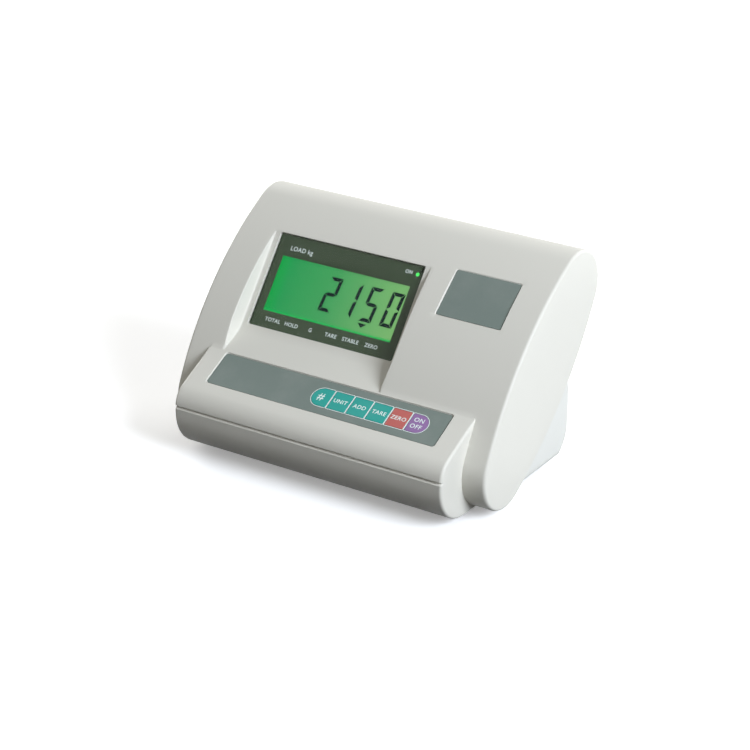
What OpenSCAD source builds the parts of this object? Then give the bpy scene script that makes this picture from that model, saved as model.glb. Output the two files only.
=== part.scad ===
// Weighing indicator: a desk-top weight display in a bowed two-shell case. A slanted liquid
// crystal display sits in a sunk window, six keys lie in a film panel on the front shelf, and
// the rear bulge holds the battery behind a hinged door, the mains transformer and the sockets.
// Millimetres. X is across, -Y is the front, Z is up, and the feet stand on Z = 0.

/* [Case] */
// Width over the side cheeks
case_w = 250; // [244:1:280]
// Depth from the front of the key shelf to the back of the crown
case_d = 171; // [168:1:180]
// Height from the table to the top of the crown
case_h = 155.5; // [152:0.5:166]
// Radius of the bowed front
front_r = 241; // [215:1:300]
// Radius of the bowed back
back_r = 265; // [240:1:330]
// Radius of the crown
crown_r = 27.3; // [25:0.1:30]
// Radius of the nose below the front
nose_r = 27.5; // [25:0.1:30]
// Nose centre, behind the front of the key shelf
nose_set = 52.5; // [50:0.5:56]
// Wall of the front shell
wall = 2.8; // [2.2:0.1:3.4]
// Wall of the rear shell
back_wall = 2.5; // [2:0.1:3]
// Rounding of the case's outer edges
edge_r = 2; // [1:0.1:3]
// Sink of the rear cover inside the edge of the front shell
back_sink = 1; // [0.4:0.1:2]

/* [Key shelf] */
// Step from the case's side in to the key shelf's side
shelf_side = 17.5; // [14:0.5:22]
// Slope of the key shelf, in degrees from level
shelf_tilt = 26.7; // [24:0.1:29]
// Height at which the shelf runs into the bowed front
shelf_h = 69.3; // [66:0.1:72]
// Radius of the shelf's upper front edge
shelf_top_r = 16; // [12:0.5:20]
// Radius of the shelf's lower front edge
shelf_low_r = 28.5; // [22:0.5:30]
// Height of the groove along the shelf's front
groove_h = 38.9; // [36:0.1:40]
// Width of that groove
groove_w = 1.6; // [1:0.1:2.4]
// Depth of that groove
groove_depth = 1.2; // [0.6:0.1:1.5]

/* [Display] */
// Slope of the display over that of the case's front, in degrees
display_lean = 5.47; // [4:0.01:7]
// Distance from the case's left side to the display window
window_left = 34; // [32:0.5:38]
// Distance from the display window to the blank plate
window_right = 23.6; // [20:0.1:28]
// Rim left above the window where its floor meets the bowed front
window_head = 0.65; // [0.5:0.05:2]
// Thickness of the window
window_t = 1.5; // [1:0.1:2]
// Floor left free on each side of the window
window_side = 4.5; // [3:0.5:6]
// Floor left free below the window
window_foot = 4.7; // [4:0.1:8]
// Length of the ledge from the display's foot to the bowed front
ledge_l = 21.2; // [19:0.1:23]
// Printed border on each side of the part of the display that shows
view_side = 7.15; // [6.5:0.05:10]
// Printed border above and below that part, on average
view_border = 13.9; // [13.2:0.1:16]

/* [Keys] */
// Distance from the shelf's side to the key panel
panel_side = 16; // [13:0.5:20]
// Depth of the key panel, along its slope
panel_h = 27.3; // [25:0.1:28]
// Thickness of the key panel's film
panel_t = 0.7; // [0.5:0.1:1]
// Distance from one key to the next
key_pitch = 15.3; // [14.5:0.1:16]
// Height of a key, along the slope
key_h = 15.1; // [13:0.1:16]
// Bar of film left between two keys
key_bar = 1.2; // [0.8:0.1:1.6]
// Distance from the key row to the right end of its panel
keys_right = 11.7; // [8:0.1:15]
// Travel of a key
key_travel = 0.4; // [0.3:0.05:0.5]

/* [Blank plate] */
// Width of the blank plate
plate_w = 49.4; // [44:0.1:54]
// Height of the blank plate, along its slope
plate_h = 35.2; // [30:0.1:38]
// Thickness of the blank plate
plate_t = 0.7; // [0.5:0.1:0.9]
// Distance from the case's right side to the blank plate
plate_right = 24; // [20:0.5:28]
// Distance from the top of the case down to the plate's centre
plate_drop = 27.5; // [23.5:0.5:31.5]
// Slope of the plate over that of the bow beneath it, in degrees
plate_lean = 0.7; // [0:0.1:2]

/* [Rear bulge] */
// Step from the case's side in to the rear bulge's side
bulge_side = 7; // [6:0.5:9]
// Back face of the bulge, in front of the back of the crown
bulge_set = 19.7; // [17:0.1:22]
// Radius of the bulge's upper and lower edges
bulge_r = 28; // [26:0.5:30]
// Height of the bulge's top as a share of the case's height
bulge_share = 0.5042; // [0.49:0.0001:0.52]
// Rounding of the bulge's ends
bulge_end_r = 6; // [3:0.5:6]

/* [Battery] */
// Distance from the battery to the bulge's back face
battery_back = 13.3; // [12.5:0.1:18]
// Room beside the battery for its tabs
battery_end = 6.9; // [6.8:0.1:12]
// Room over the battery, below the upper edge of the door's opening
battery_head = 3; // [2:0.5:8]
// Distance from the bulge's upper rounding down to the opening's upper edge
door_drop = 4.4; // [2:0.1:6]

/* [Sockets] */
// Radius of the load cell socket's barrel
cell_r = 8; // [7:0.1:8.5]
// Length of the barrel outside the case
cell_l = 9; // [7:0.1:11]
// Distance from the bulge's right side to the flange of the mains inlet
inlet_right = 4.5; // [4:0.1:7]
// Distance from the inlet's flange to that of the serial socket
socket_gap = 5; // [3:0.5:7]

/* [Feet] */
// Height of the feet
foot_h = 4.5; // [3.5:0.1:5]
// Radius of a foot at the table
foot_r = 7; // [5:0.1:8]
// Distance of the feet from the case's sides
foot_side = 40; // [36:1:45]

/* [Hidden] */
$fn = 48;

// Fits
slack = 0.3;
seat_gap = 0.1;
thread_gap = 0.05;
over = 0.5;
arc_step = 4;

// Screws
screw_r = 1.45;
screw_head_r = 2.8;
screw_head_h = 1.8;
screw_hole_r = 1.7;
screw_sink_r = 3.4;
screw_end = 0.5;
boss_r = 4.5;

// Inner lining of the sunk display
lining_t = 3.6;
lining_side = 2.8;
ledge_t = 3.3;
lining_past = 2;
recess_out = 14;
recess_open = 30;
recess_flare = 5;
recess_fillet = 18;

// Display stack, downwards from the floor of the sunk display
window_seat = 2;
window_corner = 1.5;
mask_t = 0.2;
lens_edge = 3;
lcd_t = 2.8;
light_t = 4;
stack_h = 8.1;
lcd_rim = 3.65;
frame_t = 1.5;
view_y = -1.6;
lamp_side = 4.8;
lamp_head = 6.2;
lamp_r = 1.5;
lamp_flange_r = 1.9;
lamp_flange_h = 1;
board_t = 1.6;
display_board_out = 7.5;
display_board_in = 3.2;
display_boss_out = 3.7;
display_boss_in = 5;
display_boss_r = 3;
board_screw_l = 6;
board_screw_r = 1.2;
board_screw_hole = 1.5;
board_head_r = 2.3;
board_head_h = 1.6;
chip_h = 2;
chip_w = 16;

// Key stack, downwards from the face of the shelf
panel_seat = 1.3;
panel_corner = 2;
shelf_floor = 3;
key_gap = 0.3;
key_proud = 0.1;
shelf_lead = 2;
key_lip = 0.4;
key_lip_t = 0.8;
stem_r = 1.6;
stem_in = 0.5;
switch_w = 6;
switch_h = 3.5;
switch_bore_r = 1.85;
switch_bore_spare = 0.6;
key_board_drop = 8.1;
key_board_in = 2.5;
key_board_h = 22;
key_boss_in = 7.5;
key_boss_r = 3;
row_margin = 1;
row_corner = 8.5;

// Blank plate
plate_seat = 1.6;
plate_corner = 1.2;

// Rear cover and what holds it
nose_gap = 0.3;
open_turn = 0.3;
upper_screw_turn = 3.4;
upper_screw_side = 17;
rear_boss_l = 8;
screw_sink = 3.5;
upper_screw_l = 12;
lower_screw_side = 45;
tongue_w = 24;
tongue_z = 11.5;
tongue_t = 2.5;
tongue_l = 21.3;
pad_r = 6.5;
lower_screw_l = 10;
tongue_boss_h = 6;
bulge_deep = 8;

// Battery bay
bay_wall = 2;
bay_end = 4.8;
rib_h = 3;
rib_w = 3;
rib_shares = [0.12, 0.5, 0.88];
battery_corner = 2;
battery_front = 1.6;
battery_play = 0.5;
tab_w = 4.8;
tab_t = 0.8;
tab_l = 6;
tab_share = 0.523;
tab_spacing = 12;

// Battery door
hinge_a = -45;
hinge_in = 1.6;
pin_r = 1;
pin_gap = 0.08;
pin_l = 1.6;
grip_w = 22;
grip_r = 9;
grip_depth = 1.2;
grip_edge = 1;

// Sockets
flange_t = 2;
cell_flange = 2.5;
cell_wall = 1.6;
cell_back_l = 12;
cell_floor = 4;
cell_shift = 1.9;
cell_nut_r = 11;
cell_nut_t = 3;
cell_pins = 5;
cell_pin_r = 0.75;
cell_pin_ring = 3.4;
cell_pin_l = 5;
serial_w = 31;
serial_h = 12.5;
serial_t = 0.8;
serial_shell_w = 17;
serial_shell_h = 8.4;
serial_shell_l = 6;
serial_wall = 0.5;
serial_body_l = 9;
serial_body_w = 19;
serial_body_h = 10.6;
serial_screw_x = 12.5;
serial_post_r = 2.4;
serial_post_l = 5;
serial_hole_r = 1.7;
serial_bore_r = 1.42;
contact_r = 0.5;
contact_pitch = 2.76;
contact_row = 1.42;
inlet_w = 33;
inlet_h = 17;
inlet_t = 1.6;
inlet_body_w = 23;
inlet_body_h = 13;
inlet_body_l = 14;
inlet_hole_r = 4.2;
inlet_hole_x = 4.3;
inlet_depth = 11;
inlet_pin_r = 1.2;
inlet_pin_l = 8;

// Boards and what they carry
main_w = 68;
main_gap = 6.3;
main_front = 3.5;
board_depth_share = 0.689;
chip_depth_share = 0.185;
cap_share_r = 0.074;
buzzer_share_r = 0.111;
post_h = 5;
post_r = 3;
post_in = 4;
header_w = 14;
header_d = 5;
header_h = 6;
small_header_w = 8;
cap_h = 11;
cap_lift = 0.4;
fin_t = 1.2;
fin_h = 16;
fin_l = 18;
fin_count = 5;
fin_pitch = 3;
fin_out = 5;
regulator_w = 10;
regulator_t = 4.5;
regulator_h = 9;
regulator_lift = 3;
regulator_leg = 0.8;
buzzer_h = 7;
chip_share = [[0.21, 0.26], [0.56, 0.3], [0.56, 0.66]];
display_chip_share = [-0.34, -0.12, 0.1];
cap_share = [[0.86, 0.2], [0.86, 0.4], [0.19, 0.6]];
sink_share = [0.78, 0.79];
buzzer_share = [0.35, 0.58];
ribbon_share = [0.147, 0.444];
key_ribbon_share = [0.676, 0.093];
cell_header_share = 0.852;
power_header_share = [0.926, 0.556];
battery_header_share = 0.074;

// Transformer
core_share = 0.523;
core_h = 34;
core_t = 15;
core_end = 23.5;
core_gap = 24;
core_leg_share = 0.171;
coil_t = 30;
coil_gap = 0.5;
strap_foot = 6.5;
strap_t = 1.2;
strap_hole_in = 2.5;
core_lift = 3;
core_set = -1.75;
lead_drop = 8;

// Cables inside the case
ribbon_t = 1;
ribbon_w = 13;
wire_t = 1.6;
wire_w = 3.4;
pull = 18;
ribbon_in = 11;

// Feet
foot_front = 35.5;
foot_back = 29.8;
foot_stem_r = 2.4;
foot_stem_l = 4;
foot_hole_r = 2.5;
foot_rim = 1;

key_names = ["count_key", "mode_key", "total_key", "tare_key", "zero_key", "power_key"];

// Points of the plane geometry, in which a pair is [y, z]
function turn(a) = [cos(a), sin(a)];
function bearing(p, q) = atan2(q[1] - p[1], q[0] - p[0]);
function cross2(u, v) = u[0] * v[1] - u[1] * v[0];
function crossing(p, u, q, v) = p + u * (cross2(q - p, v) / cross2(u, v));

// The point at distance rp from p and rq from q, to the left of the way from p to q, or right
function meet(p, q, rp, rq, side) =
    let (d = norm(q - p), a = (rp * rp - rq * rq + d * d) / (2 * d),
         h = sqrt(max(0, rp * rp - a * a)), u = (q - p) / d)
    p + a * u + side * h * [-u[1], u[0]];

// An arc without its last point, so that the next piece of an outline can start there
function arc(c, r, a0, a1) =
    let (n = max(2, ceil(abs(a1 - a0) / arc_step)))
    [for (i = [0 : n - 1]) c + r * turn(a0 + (a1 - a0) * i / n)];
function full_arc(c, r, a0, a1) = concat(arc(c, r, a0, a1), [c + r * turn(a1)]);

function rounded(w, h, r) = concat(
    arc([w / 2 - r, h / 2 - r], r, 0, 90), arc([r - w / 2, h / 2 - r], r, 90, 180),
    arc([r - w / 2, r - h / 2], r, 180, 270), arc([w / 2 - r, r - h / 2], r, 270, 360));

// A strip of one thickness along a smooth line from p to q, which leaves p towards a, comes to
// q from b and ends square to those two directions
line_steps = 14;
function bend(p, a, b, q) = [for (i = [0 : line_steps]) let (t = i / line_steps, s = 1 - t)
    s * s * s * p + 3 * s * s * t * a + 3 * s * t * t * b + t * t * t * q];
function normals(pts, first, last) = [for (i = [0 : line_steps])
    let (d = i == 0 ? first : i == line_steps ? last : pts[i + 1] - pts[i - 1])
    [-d[1], d[0]] / norm(d)];
function strip(p, a, b, q, t) = let (pts = bend(p, a, b, q), n = normals(pts, a - p, q - b)) concat(
    [for (i = [0 : line_steps]) pts[i] + n[i] * t / 2],
    [for (i = [line_steps : -1 : 0]) pts[i] - n[i] * t / 2]);

// Side outline of the case: nose and crown circles joined by the two long bows
front_y = -case_d / 2;
back_y = case_d / 2;
nose_c = [front_y + nose_set, foot_h + nose_r];
crown_c = [back_y - crown_r, case_h - crown_r];
front_c = meet(nose_c, crown_c, front_r - nose_r, front_r - crown_r, -1);
back_c = meet(nose_c, crown_c, back_r - nose_r, back_r - crown_r, 1);
front_a0 = bearing(front_c, crown_c);
front_a1 = bearing(front_c, nose_c);
back_a0 = bearing(back_c, nose_c);
back_a1 = bearing(back_c, crown_c);
function case_outline(inset) = concat(
    arc(nose_c, nose_r - inset, front_a1, back_a0 + 360),
    arc(back_c, back_r - inset, back_a0, back_a1),
    arc(crown_c, crown_r - inset, back_a1, front_a0),
    arc(front_c, front_r - inset, front_a0, front_a1));
function bow_at(z) = [front_c[0] - sqrt(front_r * front_r - pow(z - front_c[1], 2)), z];
function reach(p, u, c, r) = let (w = p - c, b = w * u) sqrt(b * b - w * w + r * r) - b;
open_a0 = back_a0 + open_turn;
open_a1 = back_a1 - open_turn;
nose_end = back_c + back_r * turn(open_a0);

// Widths
shelf_w = case_w - 2 * shelf_side;
bulge_w = case_w - 2 * bulge_side;
panel_w = shelf_w - 2 * panel_side;
keys_x = panel_w / 2 - keys_right - 3 * key_pitch;
plate_x = case_w / 2 - plate_right - plate_w / 2;
window_w = case_w - window_left - window_right - plate_w - plate_right;
window_x = window_left + window_w / 2 - case_w / 2;
view_w = window_w - 2 * view_side;
display_board_w = window_w + 2 * display_board_out;
display_boss_x = window_w / 2 + display_boss_out;
lamp_x = window_w / 2 - lamp_side;
key_board_w = panel_w - 2 * key_board_in;
key_boss_x = panel_w / 2 - key_boss_in;
upper_screw_x = case_w / 2 - upper_screw_side;
lower_screw_x = case_w / 2 - lower_screw_side;
foot_x = case_w / 2 - foot_side;

// Key shelf: its face runs down and forwards from where it meets the bowed front
shelf_start = bow_at(shelf_h);
shelf_down = -turn(shelf_tilt);
shelf_out = turn(shelf_tilt + 90);
shelf_top_y = front_y + shelf_top_r;
shelf_top_c = [shelf_top_y, shelf_start[1]
    + ((shelf_top_y - shelf_start[0]) * sin(shelf_tilt) - shelf_top_r) / cos(shelf_tilt)];
shelf_low_c = [front_y + shelf_low_r, foot_h + shelf_low_r];
shelf_back = wall / 2;
function shelf_outline(inset, back, behind) = let (q = shelf_start - shelf_out * inset) concat(
    [q - shelf_down * back],
    full_arc(shelf_top_c, shelf_top_r - inset, shelf_tilt + 90, 180),
    full_arc(shelf_low_c, shelf_low_r - inset, 180, 270),
    [[behind, foot_h + inset]]);

// Sunk display: a steep floor for the window, and the ledge that carries on from the shelf
display_tilt = bearing(nose_c, crown_c) + display_lean;
display_down = -turn(display_tilt);
display_out = turn(display_tilt + 90);
ledge_top = shelf_start - shelf_down * ledge_l;
window_h = reach(ledge_top, -display_down, front_c, front_r) - window_foot - window_head;
view_h = window_h - 2 * view_border;
display_board_h = window_h - 2 * display_board_in;
display_boss_y = display_board_h / 2 - display_boss_in;
lamp_y = window_h / 2 - lamp_head;
ribbon_local_y = ribbon_in - display_board_h / 2;
plate_z = case_h - plate_drop;
plate_tilt = bearing(bow_at(plate_z), front_c) + 90 + plate_lean;
window_c = ledge_top - display_down * (window_foot + window_h / 2);
recess_w = window_w + 2 * window_side;
recess_l = window_foot + window_h + recess_out;
function recess_floor(sunk, sunk_ledge, fillet, past) = let (
    knee = crossing(ledge_top - display_out * sunk, display_down,
        ledge_top - shelf_out * sunk_ledge, shelf_down),
    half = (display_tilt - shelf_tilt) / 2,
    c = knee + turn((display_tilt + shelf_tilt) / 2 + 90) * fillet / cos(half)) concat(
    [knee - display_down * recess_l],
    arc(c, fillet, display_tilt - 90 + 360, shelf_tilt - 90 + 360),
    [c - shelf_out * fillet, knee + shelf_down * (ledge_l + past)]);
function recess_mouth() = [
    ledge_top + shelf_down * (ledge_l + recess_out) + shelf_out * recess_open,
    ledge_top + shelf_down * (ledge_l + recess_out) + shelf_out * (recess_open + over),
    ledge_top - display_down * recess_l + display_out * (recess_open + over),
    ledge_top - display_down * recess_l + display_out * recess_open];

// Rear bulge
bulge_y = back_y - bulge_set;
bulge_flat = bulge_share * case_h - 2 * bulge_r;
low_c = [bulge_y - bulge_r, bulge_r];
high_c = [bulge_y - bulge_r, bulge_r + bulge_flat];
cover_r = back_r - back_sink;
cover_in_r = cover_r - back_wall;
bulge_front = nose_end[0] + nose_gap;
bulge_top = tongue_z + tongue_t;
function bulge_low_a(inset) = asin((foot_h + inset - low_c[1]) / (bulge_r - inset));
bulge_join = meet(back_c, high_c, cover_in_r, bulge_r, 1);
bulge_high_a = bearing(high_c, bulge_join);
function bulge_outline(inset) = concat(
    [[bulge_front, foot_h + inset]],
    full_arc(low_c, bulge_r - inset, bulge_low_a(inset), 0),
    full_arc(high_c, bulge_r - inset, 0, bulge_high_a), [[bulge_front, bulge_top]]);
bulge_in_r = bulge_r - back_wall;
bulge_cavity = concat(
    [[bulge_front + back_wall, foot_h + back_wall]],
    full_arc(low_c, bulge_in_r, bulge_low_a(back_wall), 0),
    full_arc(high_c, bulge_in_r, 0, bulge_high_a),
    [high_c + bulge_in_r * turn(bulge_high_a) - [bulge_deep, 0],
     [bulge_front + back_wall, bulge_top + bulge_deep]]);
floor_z = foot_h + back_wall;
socket_z = bulge_r + bulge_flat / 2;
inner_x = case_w / 2 - wall;
bulge_inner_x = bulge_w / 2 - back_wall;

// Places along the rear cover
upper_screw_a = back_a1 - upper_screw_turn;
cover_gap_a = 0.1;

// Transformer, main board and battery bay side by side, from the right
inner_d = bulge_y - bulge_front - 2 * back_wall;
core_w = core_share * inner_d;
core_leg = core_leg_share * core_w;
strap_l = core_w + 2 * strap_foot;
strap_hole = strap_l / 2 - strap_hole_in;
core_x = bulge_inner_x - core_end;
main_x1 = core_x - core_gap;
main_x0 = main_x1 - main_w;
bay_x0 = bay_end - bulge_inner_x;
bay_x1 = main_x0 - main_gap;
door_w = bay_x1 - bay_x0;
bay_x = (bay_x0 + bay_x1) / 2;
door_top = bulge_r + bulge_flat - door_drop;
inlet_x = bulge_w / 2 - inlet_right - inlet_w / 2;
serial_x = inlet_x - inlet_w / 2 - socket_gap - serial_w / 2;
cell_x = (bay_x1 + bay_wall + serial_x - serial_w / 2) / 2 + cell_shift;

// Battery bay and door
battery_z = floor_z + rib_h;
battery_x0 = bay_x0 + battery_play;
battery_y0 = bulge_front + back_wall + battery_front;
battery_l = door_w - battery_play - battery_end;
battery_d = bulge_y - battery_back - battery_y0;
battery_h = door_top - battery_head - battery_z;
hinge_c = low_c + (bulge_r - hinge_in) * turn(hinge_a);
lip_a = hinge_a - (hinge_in + slack) * 180 / (PI * (bulge_r - hinge_in));

// Boards
display_board_z = -(lining_t + stack_h);
main_z = floor_z + post_h;
main_top = main_z + board_t;
main_y0 = battery_y0 + main_front;
main_d = board_depth_share * inner_d;
core_y = main_y0 + main_d / 2 - strap_foot / 2 + core_set;
chip_d = chip_depth_share * main_d;
cap_r = cap_share_r * main_d;
buzzer_r = buzzer_share_r * main_d;
ribbon_x = main_x0 + ribbon_share[0] * main_w;
ribbon_y = main_y0 + ribbon_share[1] * main_d;
key_ribbon_x = main_x0 + key_ribbon_share[0] * main_w;
key_ribbon_y = main_y0 + key_ribbon_share[1] * main_d;
cell_header_y = main_y0 + cell_header_share * main_d;
power_header_x = main_x0 + power_header_share[0] * main_w;
power_header_y = main_y0 + power_header_share[1] * main_d;
battery_header_x = main_x0 + battery_header_share * main_w;
foot_y_front = front_y + foot_front;
foot_y_back = bulge_y - foot_back;
coil_top = floor_z + core_lift + core_h - core_leg;

// Frames of reference
module across(w, x = 0) translate([x, 0, 0]) rotate([90, 0, 90]) linear_extrude(w, center = true)
    children();
module on_display() translate([window_x, window_c[0], window_c[1]]) rotate([display_tilt, 0, 0])
    children();
shelf_c = shelf_start + shelf_down * (shelf_lead + panel_h / 2);
module on_shelf() translate([0, shelf_c[0], shelf_c[1]]) rotate([shelf_tilt, 0, 0]) children();
module on_plate() {
    c = bow_at(plate_z);
    translate([plate_x, c[0], c[1]]) rotate([plate_tilt, 0, 0]) children();
}
module on_cover(a, r) translate([0, back_c[0] + r * cos(a), back_c[1] + r * sin(a)])
    rotate([a - 90, 0, 0]) children();
module on_back(x) translate([x, bulge_y, socket_z]) rotate([-90, 0, 0]) children();
module slab(w, h, z0, z1) translate([-w / 2, -h / 2, z0]) cube([w, h, z1 - z0]);
module prism(pts, z0, z1) translate([0, 0, z0]) linear_extrude(z1 - z0) polygon(pts);
module rod(r, z0, z1) translate([0, 0, z0]) cylinder(h = z1 - z0, r = r);
module corners(x, y) for (i = [-1, 1], j = [-1, 1]) translate([i * x, j * y, 0]) children();
module pair(x) for (i = [-1, 1]) translate([i * x, 0, 0]) children();

// A side outline made solid, its two ends rounded in three steps
end_turns = [0, 30, 60, 90];
module cheeked(w, r, kind) hull() for (a = end_turns) across(w - 2 * r * (1 - sin(a)))
    polygon(kind == "case" ? case_outline(r * (1 - cos(a)))
        : kind == "shelf" ? shelf_outline(r * (1 - cos(a)), shelf_back, nose_c[0])
        : bulge_outline(r * (1 - cos(a))));

module recess(w, sunk, sunk_ledge, fillet, past) translate([window_x, 0, 0]) hull() {
    across(w) polygon(recess_floor(sunk, sunk_ledge, fillet, past));
    across(w + 2 * recess_flare) polygon(recess_mouth());
}

// Front shell
module shell_body() {
    difference() {
        union() {
            cheeked(case_w, edge_r, "case");
            cheeked(shelf_w, edge_r, "shelf");
        }
        difference() {
            union() {
                across(2 * inner_x) polygon(case_outline(wall));
                across(shelf_w - 2 * wall) polygon(shelf_outline(shelf_floor, 0, nose_c[0]));
            }
            recess(recess_w + 2 * lining_side, lining_t, ledge_t, recess_fillet + ledge_t, lining_past);
        }
        recess(recess_w, 0, 0, recess_fillet, recess_out);
    }
}

module back_opening() across(2 * inner_x) polygon(concat(
    full_arc(back_c, back_r + over, open_a0, open_a1),
    full_arc(back_c, back_r - wall - over, open_a1, open_a0)));

module front_shell() color([0.79, 0.79, 0.76]) difference() {
    union() {
        difference() {
            shell_body();
            back_opening();
        }
        on_display() corners(display_boss_x, display_boss_y)
            rod(display_boss_r, display_board_z, -window_seat);
        on_shelf() pair(key_boss_x) rod(key_boss_r, -key_board_drop, -panel_seat - over);
        intersection() {
            pair(upper_screw_x) on_cover(upper_screw_a, cover_r - rear_boss_l) rod(boss_r, -case_h, 0);
            across(case_w) polygon(case_outline(wall / 2));
        }
        pair(lower_screw_x) translate([0, nose_c[0], 0]) rod(pad_r, foot_h + edge_r, tongue_z);
    }
    on_display() window_cuts();
    on_shelf() panel_cuts();
    on_plate() prism(rounded(plate_w + slack, plate_h + slack, plate_corner), -plate_seat, recess_open);
    across(shelf_w + 2 * over) polygon([[front_y - over, groove_h + groove_w / 2],
        [front_y - over, groove_h - groove_w / 2], [front_y + groove_depth, groove_h - groove_w / 4],
        [front_y + groove_depth, groove_h + groove_w / 4]]);
    pair(upper_screw_x) on_cover(upper_screw_a, cover_r - rear_boss_l)
        rod(screw_r + thread_gap, -upper_screw_l, over);
    pair(lower_screw_x) translate([0, nose_c[0], 0]) {
        rod(screw_hole_r, foot_h - over, tongue_z + over);
        rod(screw_sink_r, foot_h - over, foot_h + screw_sink);
    }
    pair(foot_x) translate([0, foot_y_front, 0]) rod(foot_hole_r, foot_h - over, foot_h + wall + over);
}

module window_cuts() {
    prism(rounded(window_w + slack, window_h + slack, window_corner), -window_seat, recess_open);
    translate([0, view_y, 0]) slab(view_w + 2 * lens_edge, view_h + 2 * lens_edge,
        -lining_t - over, 0);
    translate([lamp_x, lamp_y, 0]) rod(lamp_flange_r, -lining_t - over, 0);
    corners(display_boss_x, display_boss_y)
        rod(board_screw_r + thread_gap, display_board_z - over, display_board_z + board_screw_l);
}

module panel_cuts() {
    prism(rounded(panel_w + slack, panel_h + slack, panel_corner), -panel_seat, recess_open);
    translate([keys_x, 0, 0]) prism(rounded(6 * key_pitch + 2 * row_margin, key_h + 2 * row_margin,
        row_corner), -shelf_floor - over, 0);
    pair(key_boss_x) rod(board_screw_r + thread_gap, -key_board_drop - over,
        -key_board_drop + board_screw_l - board_t);
}

// Rear shell
module rear_shell() color([0.76, 0.77, 0.75]) difference() {
    union() {
        difference() {
            union() {
                cover_plate();
                cheeked(bulge_w, bulge_end_r, "bulge");
            }
            across(2 * bulge_inner_x) polygon(bulge_cavity);
            door_opening();
        }
        pair(upper_screw_x) on_cover(upper_screw_a, cover_r) rod(boss_r, -rear_boss_l, -over);
        bay_walls();
        battery_ribs();
        tongues();
        translate([main_x0, main_y0, 0]) board_posts(main_w, main_d);
        translate([core_x, core_y, 0]) for (j = [-1, 1]) translate([0, j * strap_hole, 0])
            rod(post_r, foot_h + over, floor_z + core_lift);
    }
    pair(upper_screw_x) on_cover(upper_screw_a, cover_r) {
        rod(screw_hole_r, -rear_boss_l - over, over);
        rod(screw_sink_r, -screw_sink, over);
    }
    pair(lower_screw_x) translate([0, nose_c[0], 0])
        rod(screw_r + thread_gap, tongue_z - over, tongue_z + lower_screw_l - tongue_t);
    translate([main_x0, main_y0, 0]) board_places(main_w, main_d)
        rod(board_screw_r + thread_gap, main_top - board_screw_l, main_z + over);
    translate([core_x, core_y, 0]) for (j = [-1, 1]) translate([0, j * strap_hole, 0])
        rod(board_screw_r + thread_gap, foot_h + back_wall / 2, floor_z + core_lift + over);
    translate([bay_x, hinge_c[0], hinge_c[1]]) rotate([0, 90, 0])
        rod(pin_r + pin_gap, -door_w / 2 - bay_wall, door_w / 2 + bay_wall);
    on_back(cell_x) rod(cell_r + thread_gap, -back_wall - over, over);
    on_back(serial_x) {
        slab(serial_body_w + slack, serial_body_h + slack, -back_wall - over, over);
        pair(serial_screw_x) rod(serial_hole_r, -back_wall - over, over);
    }
    on_back(inlet_x) prism(rounded(inlet_body_w + slack, inlet_body_h + slack, inlet_body_h / 2),
        -back_wall - over, over);
    pair(foot_x) translate([0, foot_y_back, 0]) rod(foot_hole_r, foot_h - over, floor_z + over);
}

module cover_plate() across(2 * (inner_x - slack)) polygon(concat(
    full_arc(back_c, cover_r, open_a0 + cover_gap_a, open_a1 - cover_gap_a),
    full_arc(back_c, cover_in_r, open_a1 - cover_gap_a, open_a0 + cover_gap_a)));

// The part of a side outline that the door fills, grown sideways and at its upper edge
module door_band(w, outer, inner, top, start) across(w, bay_x) polygon(concat(
    arc(low_c, outer, start, 0), [low_c + [outer, 0], [low_c[0] + outer, top],
    [low_c[0] + inner, top], low_c + [inner, 0]], arc(low_c, inner, 0, start),
    [low_c + inner * turn(start)]));

module door_opening() door_band(door_w, bulge_r + over, bulge_r - back_wall - 2 * over, door_top, lip_a);

module bay_walls() intersection() {
    across(bulge_w) polygon(bulge_outline(over));
    for (x = [bay_x0 - bay_wall / 2, bay_x1 + bay_wall / 2]) across(bay_wall, x)
        polygon([[battery_y0, foot_h + over], [bulge_y, foot_h + over], [bulge_y, door_top],
            [battery_y0, door_top]]);
}

module battery_ribs() for (s = rib_shares) translate([battery_x0 + battery_l * s, battery_y0, 0])
    translate([-rib_w / 2, 0, foot_h + over]) cube([rib_w, battery_d - rib_h, battery_z - foot_h - over]);

module tongues() pair(lower_screw_x) {
    translate([-tongue_w / 2, bulge_front + back_wall - over - tongue_l, tongue_z])
        cube([tongue_w, tongue_l, tongue_t]);
    translate([0, nose_c[0], 0]) rod(boss_r, tongue_z, tongue_z + tongue_t + tongue_boss_h);
}

module board_places(w, d) for (x = [post_in, w - post_in], y = [post_in, d - post_in])
    translate([x, y, 0]) children();
module board_posts(w, d) board_places(w, d) rod(post_r, foot_h + over, main_z);

// Display
module display_window() color([0.25, 0.3, 0.28, 0.6]) on_display()
    prism(rounded(window_w, window_h, window_corner), -window_seat + mask_t,
        -window_seat + mask_t + window_t);

module window_mask() color([0.27, 0.31, 0.25]) on_display() difference() {
    prism(rounded(window_w, window_h, window_corner), -window_seat, -window_seat + mask_t);
    translate([0, view_y, 0]) slab(view_w, view_h, -window_seat - over, -window_seat + mask_t + over);
    translate([lamp_x, lamp_y, 0]) rod(lamp_r, -window_seat - over, -window_seat + mask_t + over);
}

lcd_w = view_w + 2 * lcd_rim;
lcd_h = view_h + 2 * lcd_rim;
module at_view() on_display() translate([0, view_y, 0]) children();

module lcd_glass() color([0.4, 0.68, 0.4]) at_view() slab(lcd_w, lcd_h, -lining_t - lcd_t, -lining_t);

module backlight() color([0.7, 0.95, 0.6]) at_view()
    slab(lcd_w, lcd_h, -lining_t - lcd_t - light_t, -lining_t - lcd_t);

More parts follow.
